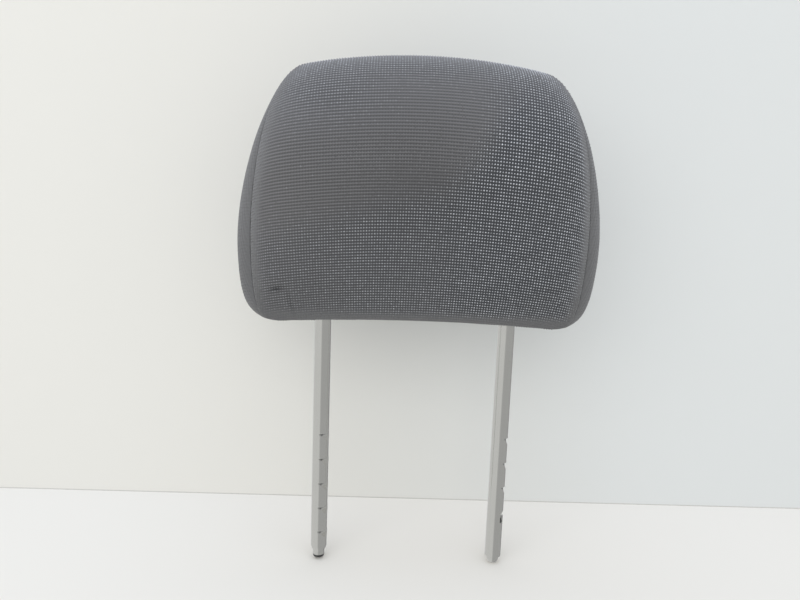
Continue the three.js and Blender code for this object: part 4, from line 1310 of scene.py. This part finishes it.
def stage_sheet(name, corners, colour, far_colour):
    """One flat piece of the stage, which the object doesn't mirror."""
    paint = stage_finish("pale_" + name, colour, far_colour)
    piece = make_mesh(name, corners, [(0, 1, 2, 3)], paint, smooth=False)
    piece.visible_glossy = False
    return piece


def upright_corners(y, low, high):
    """Corners of a sheet that stands across the stage and faces the camera."""
    return [(-STAGE_REACH, y, low), (STAGE_REACH, y, low), (STAGE_REACH, y, high), (-STAGE_REACH, y, high)]


class HEADREST_OT_stage(bpy.types.Operator):
    """Set the pale floor and wall, the soft lamps, the sky and the camera"""

    bl_idname = "headrest.stage"
    bl_label = "Set Stage"

    def execute(self, context):
        scene = context.scene
        sizes = scene.headrest_stage
        low = MODEL_BOX[0][2] / MM - FLOOR_GAP / MM
        wall = sizes.wall_distance / MM
        level = [(x * STAGE_REACH, y * STAGE_REACH, low) for x, y in ((-1, -1), (1, -1), (1, 1), (-1, 1))]
        pale, grey = sizes.floor_colour, [c * FOOT_SHADE for c in sizes.wall_colour]
        stage_sheet("floor", level, pale, [c * FLOOR_FADE for c in pale])
        upright = upright_corners(wall, low, WALL_TOP)
        wall_piece = stage_sheet("wall", upright, sizes.wall_colour, sizes.far_wall_colour)
        wall_piece.visible_diffuse = wall_piece.visible_shadow = False
        # painted shadow: a grey strip along the wall's foot
        foot = upright_corners(wall - FOOT_AHEAD, low, low + FOOT_HEIGHT)
        stage_sheet("wall_foot", foot, grey, grey)
        add_lamp("key_lamp", (-0.45, -1.3, 0.6), (1.6, 1.0), 6.5)
        add_lamp("top_lamp", (0.0, -0.3, 1.6), (1.6, 1.2), 6.4, (0.74, 0.92, 1.26))
        self.sky(scene)
        self.camera(scene, sizes)
        scene.view_settings.view_transform = "Standard"
        return {"FINISHED"}

    def sky(self, scene):
        """Pale all round, with a darker right-hand side in reflections and less light on the object."""
        world = bpy.data.worlds.new("pale_room")
        scene.world = world
        world.use_nodes = True
        graph = Graph(world.node_tree)
        x, y, z = graph.split(graph.node("ShaderNodeTexCoord", out=0))
        path = graph.node("ShaderNodeLightPath").socket.node
        rays = ("Is Camera Ray", "Is Glossy Ray", "Is Transmission Ray")
        camera, glossy, transmission = (Value(graph, path.outputs[ray]) for ray in rays)
        turn = graph.node("ShaderNodeMath", {"operation": "ARCTAN2"}, {0: x, 1: 0 - y})

        def between(start, full, fade, end):
            start, full, fade, end = (math.radians(k) for k in (start, full, fade, end))
            return graph.step(turn, start, full) * (1 - graph.step(turn, fade, end))

        dark_side, line = between(-14, -6, 128, 136), between(124, 128, 136, 142)
        mirrored = graph.mix(dark_side, (0.74, 0.745, 0.75, 1), (0.49, 0.495, 0.50, 1))
        mirrored = graph.mix(line, mirrored, (0.08, 0.08, 0.09, 1))
        seen = graph.mix(glossy, (0.83, 0.83, 0.82, 1), mirrored)
        lit = graph.mix(graph.step(z, -0.1, 0.9), (0.80, 0.805, 0.82, 1), (0.96, 0.97, 1.0, 1))
        colour = graph.mix(camera + glossy + transmission, lit, seen)
        back = graph.node("ShaderNodeBackground", None, {"Color": colour, "Strength": 1.0})
        graph.node("ShaderNodeOutputWorld", None, {"Surface": back})

    def camera(self, scene, sizes):
        """The camera where the photograph was taken from."""
        camera = bpy.data.cameras.new("camera")
        camera.sensor_width = 36
        camera.lens = sizes.lens
        camera.clip_start = 0.01
        holder = bpy.data.objects.new("camera", camera)
        scene.collection.objects.link(holder)
        pitch, yaw, roll = (math.radians(k) for k in CAMERA_TURNS)
        ahead = Vector((math.sin(yaw) * math.cos(pitch), math.cos(yaw) * math.cos(pitch), -math.sin(pitch)))
        right = Vector((math.cos(yaw), -math.sin(yaw), 0))
        up = right.cross(ahead)
        across = right * math.cos(roll) + up * math.sin(roll)
        up = up * math.cos(roll) - right * math.sin(roll)
        place = Matrix((across, up, -ahead)).transposed().to_4x4()
        place.translation = Vector(CAMERA_PLACE) * MM
        holder.matrix_world = place
        scene.camera = holder


class HEADREST_PT_panel(bpy.types.Panel):
    """Lists the headrest's operators"""

    bl_label = "Headrest"
    bl_idname = "HEADREST_PT_panel"
    bl_space_type = "VIEW_3D"
    bl_region_type = "UI"
    bl_category = "Headrest"

    def draw(self, context):
        for operator in OPERATORS:
            self.layout.operator(operator.bl_idname)


OPERATORS = (HEADREST_OT_pad, HEADREST_OT_posts, HEADREST_OT_finishes, HEADREST_OT_stage)
GROUPS = {
    "headrest_pad": HeadrestPadSizes,
    "headrest_knit": HeadrestKnitSizes,
    "headrest_posts": HeadrestPostSizes,
    "headrest_stage": HeadrestStageSizes,
}
CLASSES = (*GROUPS.values(), *OPERATORS, HEADREST_PT_panel)


def register():
    for cls in CLASSES:
        bpy.utils.register_class(cls)
    for name, group in GROUPS.items():
        setattr(bpy.types.Scene, name, bpy.props.PointerProperty(type=group))


def unregister():
    for name in GROUPS:
        delattr(bpy.types.Scene, name)
    for cls in reversed(CLASSES):
        bpy.utils.unregister_class(cls)


def main():
    register()
    for operator in OPERATORS:
        group, name = operator.bl_idname.split(".")
        getattr(getattr(bpy.ops, group), name)()


if __name__ == "__main__":
    main()
